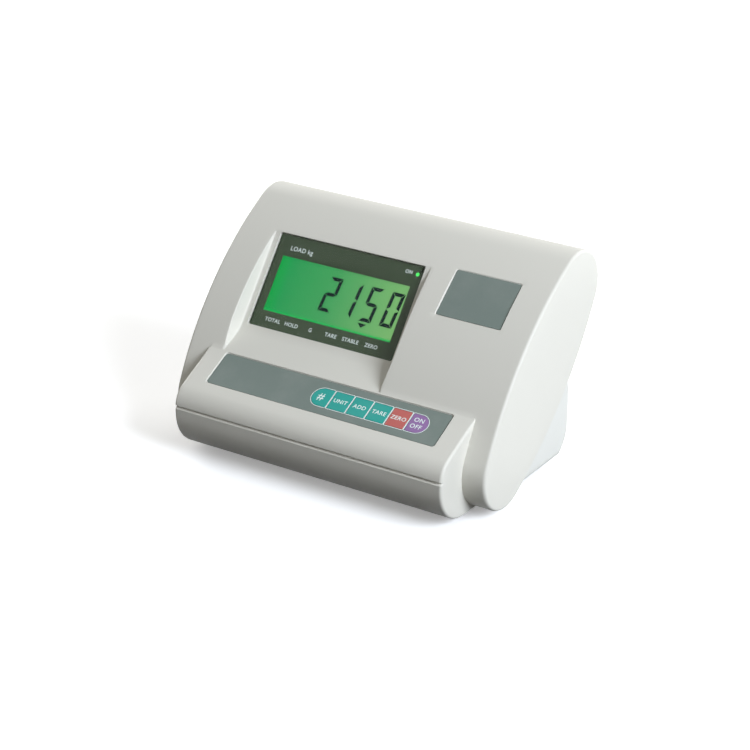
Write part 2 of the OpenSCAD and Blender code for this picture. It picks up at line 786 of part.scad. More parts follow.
module lcd_frame() color([0.16, 0.17, 0.17]) at_view() difference() {
    slab(lcd_w + 2 * frame_t + slack, lcd_h + 2 * frame_t + slack, display_board_z, -lining_t);
    slab(lcd_w + slack, lcd_h + slack, display_board_z - over, -lining_t + over);
}

module display_board() color([0.1, 0.4, 0.2]) on_display() difference() {
    slab(display_board_w, display_board_h, display_board_z - board_t, display_board_z);
    corners(display_boss_x, display_boss_y)
        rod(board_screw_hole, display_board_z - board_t - over, display_board_z + over);
}

module display_chips() color([0.12, 0.12, 0.13]) on_display() for (s = display_chip_share)
    translate([s * display_board_w, chip_d / 2, 0])
        slab(chip_w, chip_d, display_board_z - board_t - chip_h, display_board_z - board_t);

module board_screw() {
    rod(board_screw_r, 0, board_screw_l - screw_end);
    difference() {
        rod(board_head_r, -board_head_h, 0);
        rod(board_screw_r / 2, -board_head_h - over, -board_head_h / 2);
    }
}

module display_board_screws() color([0.75, 0.75, 0.77]) on_display()
    corners(display_boss_x, display_boss_y) translate([0, 0, display_board_z - board_t]) board_screw();

module power_lamp() color([0.3, 0.9, 0.35]) on_display() translate([lamp_x, lamp_y, 0]) {
    rod(lamp_r - thread_gap, display_board_z, -window_seat - seat_gap);
    rod(lamp_flange_r - thread_gap, display_board_z, display_board_z + lamp_flange_h);
}

// Keys. The first key and the last close the row with round ends.
function key_outline(i, grow) = let (w = key_pitch - key_bar + 2 * grow, h = key_h + 2 * grow,
    r = h / 2, k = panel_corner / 4 + grow) i == 0
    ? concat([[w / 2, -h / 2], [w / 2, h / 2]], arc([r - w / 2, 0], r, 90, 270), [[r - w / 2, -h / 2]])
    : i == 5 ? concat(arc([w / 2 - r, 0], r, -90, 90), [[w / 2 - r, h / 2], [-w / 2, h / 2],
        [-w / 2, -h / 2]])
    : rounded(w, h, k);
module at_key(i) on_shelf() translate([keys_x + (i - 2.5) * key_pitch, 0, 0]) children();

panel_face = panel_t - panel_seat;
module key_panel() color([0.44, 0.5, 0.48]) difference() {
    on_shelf() prism(rounded(panel_w, panel_h, panel_corner), -panel_seat, panel_face);
    for (i = [0 : 5]) at_key(i) prism(key_outline(i, key_gap / 2), -panel_seat - over, panel_face + over);
}

key_tints = [[0.1, 0.62, 0.58], [0.1, 0.62, 0.58], [0.1, 0.62, 0.58], [0.1, 0.62, 0.58],
    [0.72, 0.36, 0.34], [0.52, 0.4, 0.6]];
key_back = panel_seat + seat_gap + key_lip_t;
switch_top = key_board_drop - switch_h;
module key(i) color(key_tints[i]) at_key(i) {
    prism(key_outline(i, -key_gap / 2), -panel_seat - seat_gap, panel_face + key_proud);
    prism(key_outline(i, key_lip), -key_back, -panel_seat - seat_gap);
    rod(stem_r, -switch_top - stem_in, -key_back);
}

module key_switches() color([0.2, 0.2, 0.21]) for (i = [0 : 5]) at_key(i) difference() {
    slab(switch_w, switch_w, -key_board_drop, -switch_top);
    rod(switch_bore_r, -switch_top - stem_in - key_travel - switch_bore_spare, -switch_top + over);
}

module key_board() color([0.1, 0.4, 0.2]) on_shelf() difference() {
    slab(key_board_w, key_board_h, -key_board_drop - board_t, -key_board_drop);
    pair(key_boss_x) rod(board_screw_hole, -key_board_drop - board_t - over, -key_board_drop + over);
}

module key_board_screws() color([0.75, 0.75, 0.77]) on_shelf() pair(key_boss_x)
    translate([0, 0, -key_board_drop - board_t]) board_screw();

module blank_plate() color([0.47, 0.51, 0.49]) on_plate()
    prism(rounded(plate_w, plate_h, plate_corner), -plate_seat, plate_t - plate_seat);

// Main board
module main_board() color([0.1, 0.42, 0.22]) translate([main_x0, main_y0, 0]) difference() {
    translate([0, 0, main_z]) cube([main_w, main_d, board_t]);
    board_places(main_w, main_d) rod(board_screw_hole, main_z - over, main_top + over);
}

module main_board_screws() color([0.75, 0.75, 0.77]) translate([main_x0, main_y0, 0])
    board_places(main_w, main_d) translate([0, 0, main_top]) mirror([0, 0, 1]) board_screw();

module on_main(share) translate([main_x0 + share[0] * main_w, main_y0 + share[1] * main_d, 0])
    children();

module main_board_chips() color([0.12, 0.12, 0.13]) {
    for (share = chip_share) on_main(share) slab(chip_w, chip_d, main_top, main_top + chip_h);
    on_main(sink_share) translate([0, -(fin_t + regulator_t) / 2, 0]) {
        slab(regulator_w, regulator_t, main_top + regulator_lift, main_top + regulator_lift + regulator_h);
        for (i = [-1 : 1]) translate([i * regulator_w / 4, 0, 0])
            slab(regulator_leg, regulator_leg, main_top, main_top + regulator_lift);
    }
}

module capacitors() color([0.15, 0.2, 0.35]) for (share = cap_share) on_main(share) {
    rod(cap_r, main_top + cap_lift, main_top + cap_h);
    rod(cap_r / 2, main_top, main_top + cap_lift);
}

module heat_sink() color([0.8, 0.81, 0.82]) on_main(sink_share) {
    slab(fin_l, fin_t, main_top, main_top + fin_h);
    for (i = [0 : fin_count - 1])
        translate([(i - (fin_count - 1) / 2) * fin_pitch - fin_t / 2, 0, main_top])
            cube([fin_t, fin_out, fin_h]);
}

module buzzer() color([0.1, 0.1, 0.1]) on_main(buzzer_share) difference() {
    rod(buzzer_r, main_top, main_top + buzzer_h);
    rod(buzzer_r / 4, main_top + buzzer_h / 2, main_top + buzzer_h + over);
}

module header(w) slab(w, header_d, 0, header_h);
battery_header_w = tab_spacing + small_header_w;
tabs_y = battery_y0 + tab_share * battery_d;
module board_headers() color([0.92, 0.92, 0.88]) {
    on_display() translate([ribbon_x - window_x, ribbon_local_y, display_board_z - board_t])
        mirror([0, 0, 1]) header(header_w);
    on_shelf() translate([key_ribbon_x, 0, -key_board_drop - board_t]) mirror([0, 0, 1]) header(header_w);
    translate([ribbon_x, ribbon_y, main_top]) header(header_w);
    translate([key_ribbon_x, key_ribbon_y, main_top]) header(header_w);
    translate([cell_x, cell_header_y, main_top]) header(small_header_w);
    translate([power_header_x, power_header_y, main_top]) rotate([0, 0, 90]) header(small_header_w);
    translate([battery_header_x, tabs_y + tab_spacing / 2, main_top]) rotate([0, 0, 90])
        header(battery_header_w);
}

// Cables inside the case. Each is a flat strip that bends smoothly between its two ends.
display_plug = window_c - display_down * ribbon_local_y
    + display_out * (display_board_z - board_t - header_h);
key_plug = shelf_c - shelf_out * (key_board_drop + board_t + header_h);
plug_top = main_top + header_h;

module display_ribbon() color([0.7, 0.7, 0.72]) across(ribbon_w, ribbon_x)
    polygon(strip(display_plug, display_plug - display_out * pull,
        [ribbon_y, plug_top + pull], [ribbon_y, plug_top], ribbon_t));

module key_ribbon() color([0.7, 0.7, 0.72]) across(ribbon_w, key_ribbon_x)
    polygon(strip(key_plug, key_plug - shelf_out * pull / 2,
        [key_ribbon_y, plug_top + pull], [key_ribbon_y, plug_top], ribbon_t));

module load_cell_leads() color([0.15, 0.15, 0.16]) across(wire_w, cell_x)
    polygon(strip([bulge_y - cell_back_l, socket_z], [cell_header_y, socket_z],
        [cell_header_y, plug_top + pull / 2], [cell_header_y, plug_top], wire_t));

// A strip in the XZ plane, at one depth
module along_y(w, y) translate([0, y, 0]) rotate([90, 0, 0]) linear_extrude(w, center = true)
    children();

tab_x = battery_x0 + battery_l;
tab_z = battery_z + battery_h / 2;
lead_x = tab_x + tab_l / 2;
module battery_leads() color([0.75, 0.15, 0.12]) for (s = [0, 1])
    along_y(wire_w, tabs_y + s * tab_spacing) polygon(strip([lead_x, tab_z + tab_w / 2],
        [lead_x, door_top + pull], [battery_header_x, door_top + pull / 2],
        [battery_header_x, plug_top], wire_t));

lead_z = coil_top - lead_drop;
coil_w = core_w - 2 * core_leg - 2 * coil_gap;
module transformer_leads() color([0.2, 0.3, 0.7]) along_y(wire_w, power_header_y)
    polygon(strip([core_x - coil_t / 2, lead_z], [core_x - coil_t / 2 - pull / 2, lead_z],
        [power_header_x, plug_top + pull], [power_header_x, plug_top], wire_t));

module mains_leads() color([0.35, 0.25, 0.15]) across(wire_w, core_x + (coil_t + core_t) / 4)
    polygon(strip([bulge_y - inlet_body_l, socket_z], [bulge_y - inlet_body_l - pull / 2, socket_z],
        [core_y + coil_w / 2 + pull / 2, lead_z], [core_y + coil_w / 2, lead_z], wire_t));

// Transformer: a laminated core with two windows, a coil on its middle leg, and a sheet strap
// over it that ends in two screwed feet
module transformer_core() color([0.42, 0.43, 0.45])
    translate([core_x - core_t / 2, core_y - core_w / 2, floor_z + core_lift]) difference() {
        cube([core_t, core_w, core_h]);
        for (s = [core_leg, core_w / 2 + core_leg]) translate([-over, s, core_leg])
            cube([core_t + 2 * over, core_w / 2 - 2 * core_leg, core_h - 2 * core_leg]);
    }

module transformer_coil() color([0.72, 0.5, 0.2]) translate([core_x, core_y, 0]) difference() {
    slab(coil_t, coil_w, coil_top + 2 * core_leg - core_h + coil_gap, coil_top - coil_gap);
    slab(core_t + 2 * coil_gap, 2 * core_leg + coil_gap / 2, floor_z, coil_top + core_h);
}

module transformer_strap() color([0.7, 0.71, 0.72]) translate([core_x, core_y, 0]) difference() {
    union() {
        slab(core_t, strap_l, floor_z + core_lift, floor_z + core_lift + strap_t);
        slab(core_t, core_w + 2 * strap_t, floor_z + core_lift, floor_z + core_lift + core_h + strap_t);
    }
    slab(core_t + 2 * over, core_w, floor_z, floor_z + core_lift + core_h);
    for (j = [-1, 1]) translate([0, j * strap_hole, 0])
        rod(board_screw_hole, floor_z, floor_z + core_lift + strap_t + over);
}

module transformer_screws() color([0.75, 0.75, 0.77]) translate([core_x, core_y, 0])
    for (j = [-1, 1]) translate([0, j * strap_hole, floor_z + core_lift + strap_t]) mirror([0, 0, 1]) {
        rod(board_screw_r, 0, core_lift + strap_t);
        rod(board_head_r, -board_head_h, 0);
    }

// Sockets. Their own z axis points out of the back.
module load_cell_socket() color([0.78, 0.79, 0.8]) on_back(cell_x) difference() {
    union() {
        rod(cell_r + cell_flange, 0, flange_t);
        rod(cell_r, -cell_back_l, cell_l);
    }
    rod(cell_r - cell_wall, -cell_back_l + cell_floor, cell_l + over);
}

module load_cell_nut() color([0.78, 0.79, 0.8]) on_back(cell_x) difference() {
    translate([0, 0, -back_wall - cell_nut_t]) cylinder(h = cell_nut_t, r = cell_nut_r, $fn = 6);
    rod(cell_r + thread_gap, -back_wall - cell_nut_t - over, -back_wall + over);
}

module cell_pin_places() for (i = [0 : cell_pins - 1]) rotate([0, 0, 360 * i / cell_pins])
    translate([cell_pin_ring, 0, 0]) children();

module load_cell_insert() color([0.12, 0.12, 0.13]) on_back(cell_x) difference() {
    rod(cell_r - cell_wall, -cell_back_l + cell_floor, 0);
    cell_pin_places() rod(cell_pin_r, -cell_back_l, over);
}

module load_cell_pins() color([0.85, 0.7, 0.3]) on_back(cell_x) cell_pin_places()
    rod(cell_pin_r, -cell_back_l + cell_floor, cell_pin_l);

// Shell of the serial socket, wider along one long side than along the other
serial_slope = 1;
function d_shape(w, h) = [[-w / 2, h / 2], [serial_slope - w / 2, -h / 2], [w / 2 - serial_slope, -h / 2],
    [w / 2, h / 2]];
module serial_socket() color([0.74, 0.75, 0.76]) on_back(serial_x) difference() {
    union() {
        slab(serial_w, serial_h, 0, serial_t);
        prism(d_shape(serial_shell_w, serial_shell_h), 0, serial_shell_l);
    }
    prism(d_shape(serial_shell_w - 2 * serial_wall, serial_shell_h - 2 * serial_wall), -over,
        serial_shell_l + over);
    pair(serial_screw_x) rod(serial_hole_r, -over, serial_t + over);
}

module contact_places() for (r = [0, 1], i = [0 : 4 - r])
    translate([(i - 2 + r / 2) * contact_pitch, (1 - 2 * r) * contact_row, 0]) children();

serial_deck = serial_shell_l / 4;
module serial_insert() color([0.1, 0.1, 0.11]) on_back(serial_x) difference() {
    union() {
        slab(serial_body_w, serial_body_h, -serial_body_l, 0);
        prism(d_shape(serial_shell_w - 2 * serial_wall - 2 * seat_gap,
            serial_shell_h - 2 * serial_wall - 2 * seat_gap), 0, serial_deck);
    }
    contact_places() rod(contact_r, -serial_body_l / 2, serial_deck + over);
}

module serial_pins() color([0.85, 0.7, 0.3]) on_back(serial_x) contact_places()
    rod(contact_r, -serial_body_l / 2, serial_shell_l - serial_t);

module serial_posts() color([0.8, 0.8, 0.82]) on_back(serial_x) pair(serial_screw_x) difference() {
    union() {
        translate([0, 0, serial_t]) cylinder(h = serial_post_l, r = serial_post_r, $fn = 6);
        rod(serial_hole_r - thread_gap, -back_wall - over, serial_t);
    }
    rod(serial_bore_r, serial_t + serial_post_l / 4, serial_t + serial_post_l + over);
}

module mains_inlet() color([0.1, 0.1, 0.11]) on_back(inlet_x) difference() {
    union() {
        prism(rounded(inlet_w, inlet_h, panel_corner), 0, inlet_t);
        prism(rounded(inlet_body_w, inlet_body_h, inlet_body_h / 2), -inlet_body_l, 0);
    }
    pair(inlet_hole_x) rod(inlet_hole_r, inlet_t - inlet_depth, inlet_t + over);
    slab(2 * inlet_hole_x, inlet_hole_r, inlet_t - inlet_depth, inlet_t + over);
    pair(inlet_hole_x) rod(inlet_pin_r, -inlet_body_l + inlet_t, inlet_t);
}

module inlet_pins() color([0.82, 0.8, 0.72]) on_back(inlet_x) pair(inlet_hole_x)
    rod(inlet_pin_r, -inlet_body_l + inlet_t, -inlet_body_l + inlet_t + inlet_pin_l);

// Battery and its door
module battery() color([0.2, 0.21, 0.23])
    translate([battery_x0, battery_y0 + battery_d / 2, battery_z + battery_h / 2]) rotate([90, 0, 90])
        prism(rounded(battery_d, battery_h, battery_corner), 0, battery_l);

module battery_tabs() color([0.85, 0.82, 0.72]) for (s = [0, 1])
    translate([tab_x, tabs_y + s * tab_spacing - tab_t / 2, tab_z - tab_w / 2])
        cube([tab_l, tab_t, tab_w]);

module battery_door() color([0.76, 0.77, 0.75]) difference() {
    union() {
        door_band(door_w - 2 * slack, bulge_r, bulge_r - back_wall, door_top - slack, hinge_a);
        translate([bay_x, hinge_c[0], hinge_c[1]]) rotate([0, 90, 0]) {
            rod(hinge_in, slack - door_w / 2, door_w / 2 - slack);
            rod(pin_r, -door_w / 2 - pin_l, door_w / 2 + pin_l);
        }
    }
    translate([bay_x, bulge_y + grip_r - grip_depth, door_top - grip_edge - grip_r]) rotate([0, 90, 0])
        rod(grip_r, -grip_w / 2, grip_w / 2);
}

// Fasteners and feet
module case_screw(l) difference() {
    union() {
        rod(screw_r, -l, 0);
        rod(screw_head_r, 0, screw_head_h);
    }
    rod(screw_r / 2, screw_head_h / 2, screw_head_h + over);
}

module case_screws() color([0.7, 0.71, 0.73]) {
    pair(upper_screw_x) on_cover(upper_screw_a, cover_r - screw_sink)
        case_screw(rear_boss_l - screw_sink + upper_screw_l - screw_end);
    pair(lower_screw_x) translate([0, nose_c[0], foot_h + screw_sink]) mirror([0, 0, 1])
        case_screw(tongue_z - foot_h - screw_sink + lower_screw_l - tongue_t - screw_end);
}

module foot() {
    cylinder(h = foot_rim, r1 = foot_r - foot_rim, r2 = foot_r);
    translate([0, 0, foot_rim]) cylinder(h = foot_h - foot_rim, r1 = foot_r, r2 = foot_r - foot_rim);
    rod(foot_stem_r, 0, foot_h + foot_stem_l);
}

module rubber_feet() color([0.12, 0.12, 0.12]) for (y = [foot_y_front, foot_y_back])
    pair(foot_x) translate([0, y, 0]) foot();

front_shell();
rear_shell();
display_window();
window_mask();
lcd_glass();
lcd_frame();
backlight();
display_board();
display_chips();
display_board_screws();
power_lamp();
key_panel();
key_board();
key_switches();
key_board_screws();
blank_plate();
main_board();
main_board_screws();
main_board_chips();
board_headers();
capacitors();
heat_sink();
buzzer();
transformer_core();
transformer_coil();
transformer_strap();
transformer_screws();
mains_inlet();
inlet_pins();
load_cell_socket();
load_cell_nut();
load_cell_insert();
load_cell_pins();
serial_socket();
serial_insert();
serial_pins();
serial_posts();
battery();
battery_tabs();
battery_door();
case_screws();
rubber_feet();
display_ribbon();
key_ribbon();
battery_leads();
transformer_leads();
mains_leads();
load_cell_leads();
for (i = [0 : 5]) key(i);
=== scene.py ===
"""Looks of a desk-top weighing indicator, built round its CAD model.

Laid out as an add-on that is never installed: sizes and colours are properties, each group of
pieces has its own operator, and a panel lists the operators. Lengths in the properties and in
the scene are metres. The plane geometry of the case is worked out in millimetres.
"""
import math

import bpy
import numpy as np
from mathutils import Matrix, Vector


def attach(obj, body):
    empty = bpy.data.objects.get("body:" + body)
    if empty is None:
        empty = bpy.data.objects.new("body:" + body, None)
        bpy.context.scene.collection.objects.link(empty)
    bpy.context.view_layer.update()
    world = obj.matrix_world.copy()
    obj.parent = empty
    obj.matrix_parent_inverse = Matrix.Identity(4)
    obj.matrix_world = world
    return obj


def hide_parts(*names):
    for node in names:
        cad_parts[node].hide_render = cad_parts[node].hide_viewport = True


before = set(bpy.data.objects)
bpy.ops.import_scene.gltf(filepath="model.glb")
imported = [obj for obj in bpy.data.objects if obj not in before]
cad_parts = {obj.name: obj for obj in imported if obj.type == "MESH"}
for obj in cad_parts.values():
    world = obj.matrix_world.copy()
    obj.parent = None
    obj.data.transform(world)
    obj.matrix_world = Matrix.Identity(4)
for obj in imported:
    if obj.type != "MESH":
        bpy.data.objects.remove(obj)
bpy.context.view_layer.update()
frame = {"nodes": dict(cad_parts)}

bl_info = {
    "name": "Weighing indicator",
    "version": (1, 0, 0),
    "blender": (4, 5, 0),
    "location": "3D View > Sidebar > Indicator",
    "description": "Builds the looks of a desk-top weighing indicator",
    "category": "Object",
}

MM = 0.001
BLACK, WHITE = (0.0, 0.0, 0.0), (1.0, 1.0, 1.0)


# Colour and node helpers

def srgb(r, g, b):
    """Linear colour of display values from 0 to 255."""
    c = np.array([r, g, b], float) / 255
    c = np.where(c <= 0.04045, c / 12.92, ((c + 0.055) / 1.055) ** 2.4)
    return tuple(float(v) for v in c)


class Nodes:
    """Adds nodes to the tree of a material or world, or to a group's, from left to right."""

    def __init__(self, tree, owner=None):
        tree.nodes.clear()
        self.tree, self.owner, self.count = tree, owner, 0

    def add(self, kind, props=None, **inputs):
        """A node with its properties set, and its inputs set to values or linked to sockets."""
        node = self.tree.nodes.new(kind)
        node.location = (220 * self.count, 0)
        self.count += 1
        for key, value in (props or {}).items():
            setattr(node, key, value)
        for key, value in inputs.items():
            self.put(node, key.replace("_", " "), value)
        return node

    def put(self, node, key, value):
        """Sets one input, found by its name or its number, to a value or a socket."""
        socket = node.inputs[int(key)] if key.isdigit() else node.inputs[key]
        if isinstance(value, bpy.types.NodeSocket):
            self.tree.links.new(value, socket)
        elif hasattr(value, "__len__") and len(value) < len(socket.default_value):
            socket.default_value = (*value, 1)
        else:
            socket.default_value = value

    def math(self, operation, *values, clamp=False):
        """One step of arithmetic on values or sockets."""
        step = {"operation": operation, "use_clamp": clamp}
        return self.add("ShaderNodeMath", step, **{str(i): v for i, v in enumerate(values)}).outputs[0]

    def ramp(self, fac, stops):
        """A colour ramp through (place, colour) stops."""
        node = self.add("ShaderNodeValToRGB", Fac=fac)
        band = node.color_ramp.elements
        while len(band) < len(stops):
            band.new(0.5)
        for element, (place, colour) in zip(band, stops):
            element.position = place
            element.color = (*colour, 1) if hasattr(colour, "__len__") else (colour,) * 3 + (1,)
        return node.outputs[0]

    def mix(self, fac, a, b):
        """Mixes two colours."""
        return self.add("ShaderNodeMix", {"data_type": "RGBA"}, **{"0": fac, "6": a, "7": b}).outputs[2]

    def place(self):
        """The object's own coordinates."""
        return self.add("ShaderNodeTexCoord").outputs["Object"]

    def part(self, vector, axis):
        """One coordinate of a vector."""
        return self.add("ShaderNodeSeparateXYZ", Vector=vector).outputs[axis]

    def noise(self, place, scale, detail=2.0, roughness=0.5, distortion=0.0):
        """A noise from 0 to 1."""
        return self.add("ShaderNodeTexNoise", Vector=place, Scale=scale, Detail=detail, Roughness=roughness,
                        Distortion=distortion).outputs["Fac"]

    def spread(self, value, low, high, first=0.0, last=1.0):
        """A value between low and high, spread evenly from first to last."""
        return self.add("ShaderNodeMapRange", Value=value, From_Min=low, From_Max=high, To_Min=first,
                        To_Max=last).outputs[0]

    def group(self, tree, **inputs):
        """Outputs of a node group that is put in as a node."""
        return self.add("ShaderNodeGroup", {"node_tree": tree}, **inputs).outputs

    def surface(self, **inputs):
        """Adds the shader, links it to the output and returns the material."""
        shader = self.add("ShaderNodeBsdfPrincipled", **inputs)
        self.add("ShaderNodeOutputMaterial", Surface=shader.outputs[0])
        return self.owner

    def seen(self):
        """1 for what is seen, straight, in a gloss or through the window, and 0 for other light."""
        ray = self.add("ShaderNodeLightPath").outputs
        straight = self.math("ADD", ray["Is Camera Ray"], ray["Is Glossy Ray"])
        return self.math("ADD", straight, ray["Is Transmission Ray"], clamp=True)

    def worn(self, roughness, more, amount):
        """A roughness that grows by up to more where an amount of handling marks lies."""
        return self.math("MULTIPLY_ADD", self.group(handled_group(), Amount=amount)["Mask"], more, roughness)


def group(name, given, default, outputs, build):
    """A node group made once, with one given value. build(nodes, its socket, group output) fills it."""
    tree = bpy.data.node_groups.get(name)
    if tree:
        return tree
    tree = bpy.data.node_groups.new(name, "ShaderNodeTree")
    item = tree.interface.new_socket(given, in_out="INPUT", socket_type="NodeSocketFloat")
    item.default_value = default
    for label in outputs:
        tree.interface.new_socket(label, in_out="OUTPUT", socket_type="NodeSocketFloat")
    nodes = Nodes(tree)
    start = nodes.add("NodeGroupInput")
    end = tree.nodes.new("NodeGroupOutput")
    build(nodes, start.outputs[given], end)
    end.location = (220 * nodes.count, 0)
    return tree


def grain_group():
    """Moulded grain: two noises of different size give a height and a soft mottling mask."""
    def build(n, scale, end):
        n.put(end, "Height", n.noise(n.place(), scale, detail=3.0, roughness=0.55))
        n.put(end, "Mottle", n.noise(n.place(), 26.0))
    return group("Moulded grain", "Scale", 2600.0, ("Height", "Mottle"), build)


def dust_group():
    """Dust film: thicker where a face looks up, broken by a cloudy noise."""
    def build(n, amount, end):
        up = n.part(n.add("ShaderNodeNewGeometry").outputs["Normal"], "Z")
        slope = n.math("POWER", n.math("MAXIMUM", up, 0.0), 2.0)
        cloud = n.noise(n.place(), 38.0, detail=6.0, roughness=0.62)
        patch = n.ramp(cloud, [(0.42, 0.0), (0.7, 1.0)])
        n.put(end, "Mask", n.math("MULTIPLY", n.math("MULTIPLY", slope, patch), amount, clamp=True))
    return group("Dust film", "Amount", 0.06, ("Mask",), build)


def handled_group():
    """Handling marks: a mask of smears and fine scratches, for the gloss."""
    def build(n, amount, end):
        smear = n.noise(n.place(), 55.0, detail=5.0, roughness=0.6, distortion=0.6)
        stretch = n.add("ShaderNodeMapping", Vector=n.place(), Scale=(60.0, 900.0, 900.0),
                        Rotation=(0.3, 0.2, 0.5))
        line = n.noise(stretch.outputs[0], 1.0)
        marks = n.math("ADD", n.ramp(smear, [(0.45, 0.0), (0.75, 1.0)]),
                       n.ramp(line, [(0.62, 0.0), (0.7, 0.6)]))
        n.put(end, "Mask", n.math("MULTIPLY", marks, amount, clamp=True))
    return group("Handling marks", "Amount", 0.3, ("Mask",), build)


def made_of_nodes(data):
    """The nodes of a new material or world."""
    data.use_nodes = True
    return Nodes(data.node_tree, data)


def grained(n, colour, scale, mottle, darker):
    """Height of a moulded grain, and a colour mottled by some share towards a darker one."""
    grain = n.group(grain_group(), Scale=scale)
    share = n.math("MULTIPLY", grain["Mottle"], mottle)
    return grain["Height"], n.mix(share, tuple(colour), tuple(c * darker for c in colour))


def plastic(name, colour, roughness=0.5, grain=0.00003, scale=2600.0, dust=0.05, marks=0.3, emission=0.0,
            specular=0.5):
    """Moulded plastic or rubber: grain in the bump, mottled colour, dust above, marks in the gloss.
    grain is the bump's height in metres, and scale says how fine it is."""
    n = made_of_nodes(bpy.data.materials.new(name))
    height, tint = grained(n, colour, scale, mottle=0.05, darker=0.8)
    base = n.mix(n.group(dust_group(), Amount=dust)["Mask"], tint, srgb(206, 203, 196))
    bump = n.add("ShaderNodeBump", Strength=0.6, Distance=grain, Height=height)
    glow = {"Emission_Color": tuple(colour), "Emission_Strength": emission} if emission else {}
    return n.surface(Base_Color=base, Roughness=n.worn(roughness, more=0.12, amount=marks),
                     Normal=bump.outputs[0], Specular_IOR_Level=specular, **glow)


def metal(name, colour, roughness):
    """Plated or turned metal with marks in its gloss and a faint tarnish."""
    n = made_of_nodes(bpy.data.materials.new(name))
    height, tint = grained(n, colour, 1800.0, mottle=0.25, darker=0.6)
    bump = n.add("ShaderNodeBump", Strength=0.3, Distance=0.00001, Height=height)
    return n.surface(Base_Color=tint, Metallic=1.0, Roughness=n.worn(roughness, more=0.2, amount=0.5),
                     Normal=bump.outputs[0])


def dress(objects, material, body=None):
    """Gives one material to an object or a list of them, and the body that
    they ride on, where it is named."""
    for obj in objects if isinstance(objects, list) else [objects]:
        obj.data.materials.clear()
        obj.data.materials.append(material)
        if body:
            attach(obj, body)


# Plane geometry of the case, in millimetres. A pair is (y, z).
# Overall depth and height with the feet, and the feet's height
DEPTH, HEIGHT, FOOT = 171.0, 155.5, 4.5

# Radii of the side outline's arcs, then half the width, the cheeks' rounding and the wall
FRONT_R, BACK_R, CROWN_R, NOSE_R = 241.0, 265.0, 27.3, 27.5
HALF_W, EDGE_R, WALL = 125.0, 2.0, 2.8

# Shelf: half its width, slope in degrees, height at the bow, and radii above and below its front
SHELF_HALF, SHELF_TILT, SHELF_H, TOP_R, LOW_R = 107.5, 26.7, 69.3, 16.0, 28.5

# Display: slope in degrees, the window's middle and size, then the sunk floor: length of the ledge,
# gap up to the window, fillet between them, half its width, and run of its side walls per depth
TILT, WINDOW_X, WINDOW_W, WINDOW_H = 52.0, -31.5, 119.0, 68.4
LEDGE, FOOT_GAP, FILLET, FLOOR_HALF, FLARE = 21.2, 4.7, 18.0, 64.0, 5.0 / 30.0

# Seats: width, height, corner and depth. A steep wall is STEEP wide each way, a sloped one RIM.
WINDOW_CORNER, WINDOW_SEAT = 1.5, 2.0
PANEL_W, PANEL_H, PANEL_CORNER, PANEL_SEAT = 183.0, 27.3, 2.0, 1.3
PLATE_W, PLATE_H, PLATE_CORNER, PLATE_SEAT, PLATE_X = 49.4, 35.2, 1.2, 1.6, 76.3
SEAT_GAP, STEEP, RIM = 0.15, 0.12, 0.62

# Openings behind the window, for the lamp and under the keys: left, right, low and high
VIEW_OPENING = (-55.35, 55.35, -24.9, 21.7)
LAMP_OPENING = (52.8, 56.6, 26.1, 29.9)
KEYS_X, KEY_PITCH, KEY_H = 33.9, 15.3, 15.1
KEYS_OPENING = (-46.9, 46.9, -8.55, 8.55)

# The groove's heights on the shelf's front, with their depths
GROOVE = ((40.3, 0.0), (40.2, 0.0), (39.75, 1.35), (38.75, 1.35), (37.65, 0.0), (37.55, 0.0))
FRONT_FACE = -80.0

# What a row has for a coordinate that it lacks
NOWHERE = 1e3

# Grid lines on a rounding, as angles, and on the shelf's side wall, as shares of its height
ROUND_ANGLES = (22.5, 45.0, 67.5, 90.0)
WALL_SHARES = (0.0, 0.35, 0.7, 1.0)


def turn(degrees):
    """Unit vector at an angle, or an array of them."""
    a = np.radians(degrees)
    return np.stack([np.cos(a), np.sin(a)], -1)


def bearing(p, q):
    """Angle of the way from p to q, in degrees."""
    return math.degrees(math.atan2(q[1] - p[1], q[0] - p[0]))


def meet(p, q, rp, rq, side):
    """The point at distance rp from p and rq from q, left (1) or right (-1) of the way p to q."""
    d = np.linalg.norm(q - p)
    a = (rp * rp - rq * rq + d * d) / (2 * d)
    u = (q - p) / d
    return p + a * u + side * math.sqrt(rp * rp - a * a) * np.array([-u[1], u[0]])


NOSE = np.array([-DEPTH / 2 + 52.5, FOOT + NOSE_R])
CROWN = np.array([DEPTH / 2 - CROWN_R, HEIGHT - CROWN_R])
FRONT = meet(NOSE, CROWN, FRONT_R - NOSE_R, FRONT_R - CROWN_R, -1)
BACK = meet(NOSE, CROWN, BACK_R - NOSE_R, BACK_R - CROWN_R, 1)
FRONT_A0, FRONT_A1 = bearing(FRONT, CROWN), bearing(FRONT, NOSE)
BACK_A0, BACK_A1 = bearing(BACK, NOSE), bearing(BACK, CROWN)


def bow_angle(z):
    """Angle on the bowed front's circle at a height."""
    return 180 - math.degrees(math.asin((z - FRONT[1]) / FRONT_R))


def bow_at(z):
    """Point of the bowed front at a height."""
    return FRONT + FRONT_R * turn(bow_angle(z))


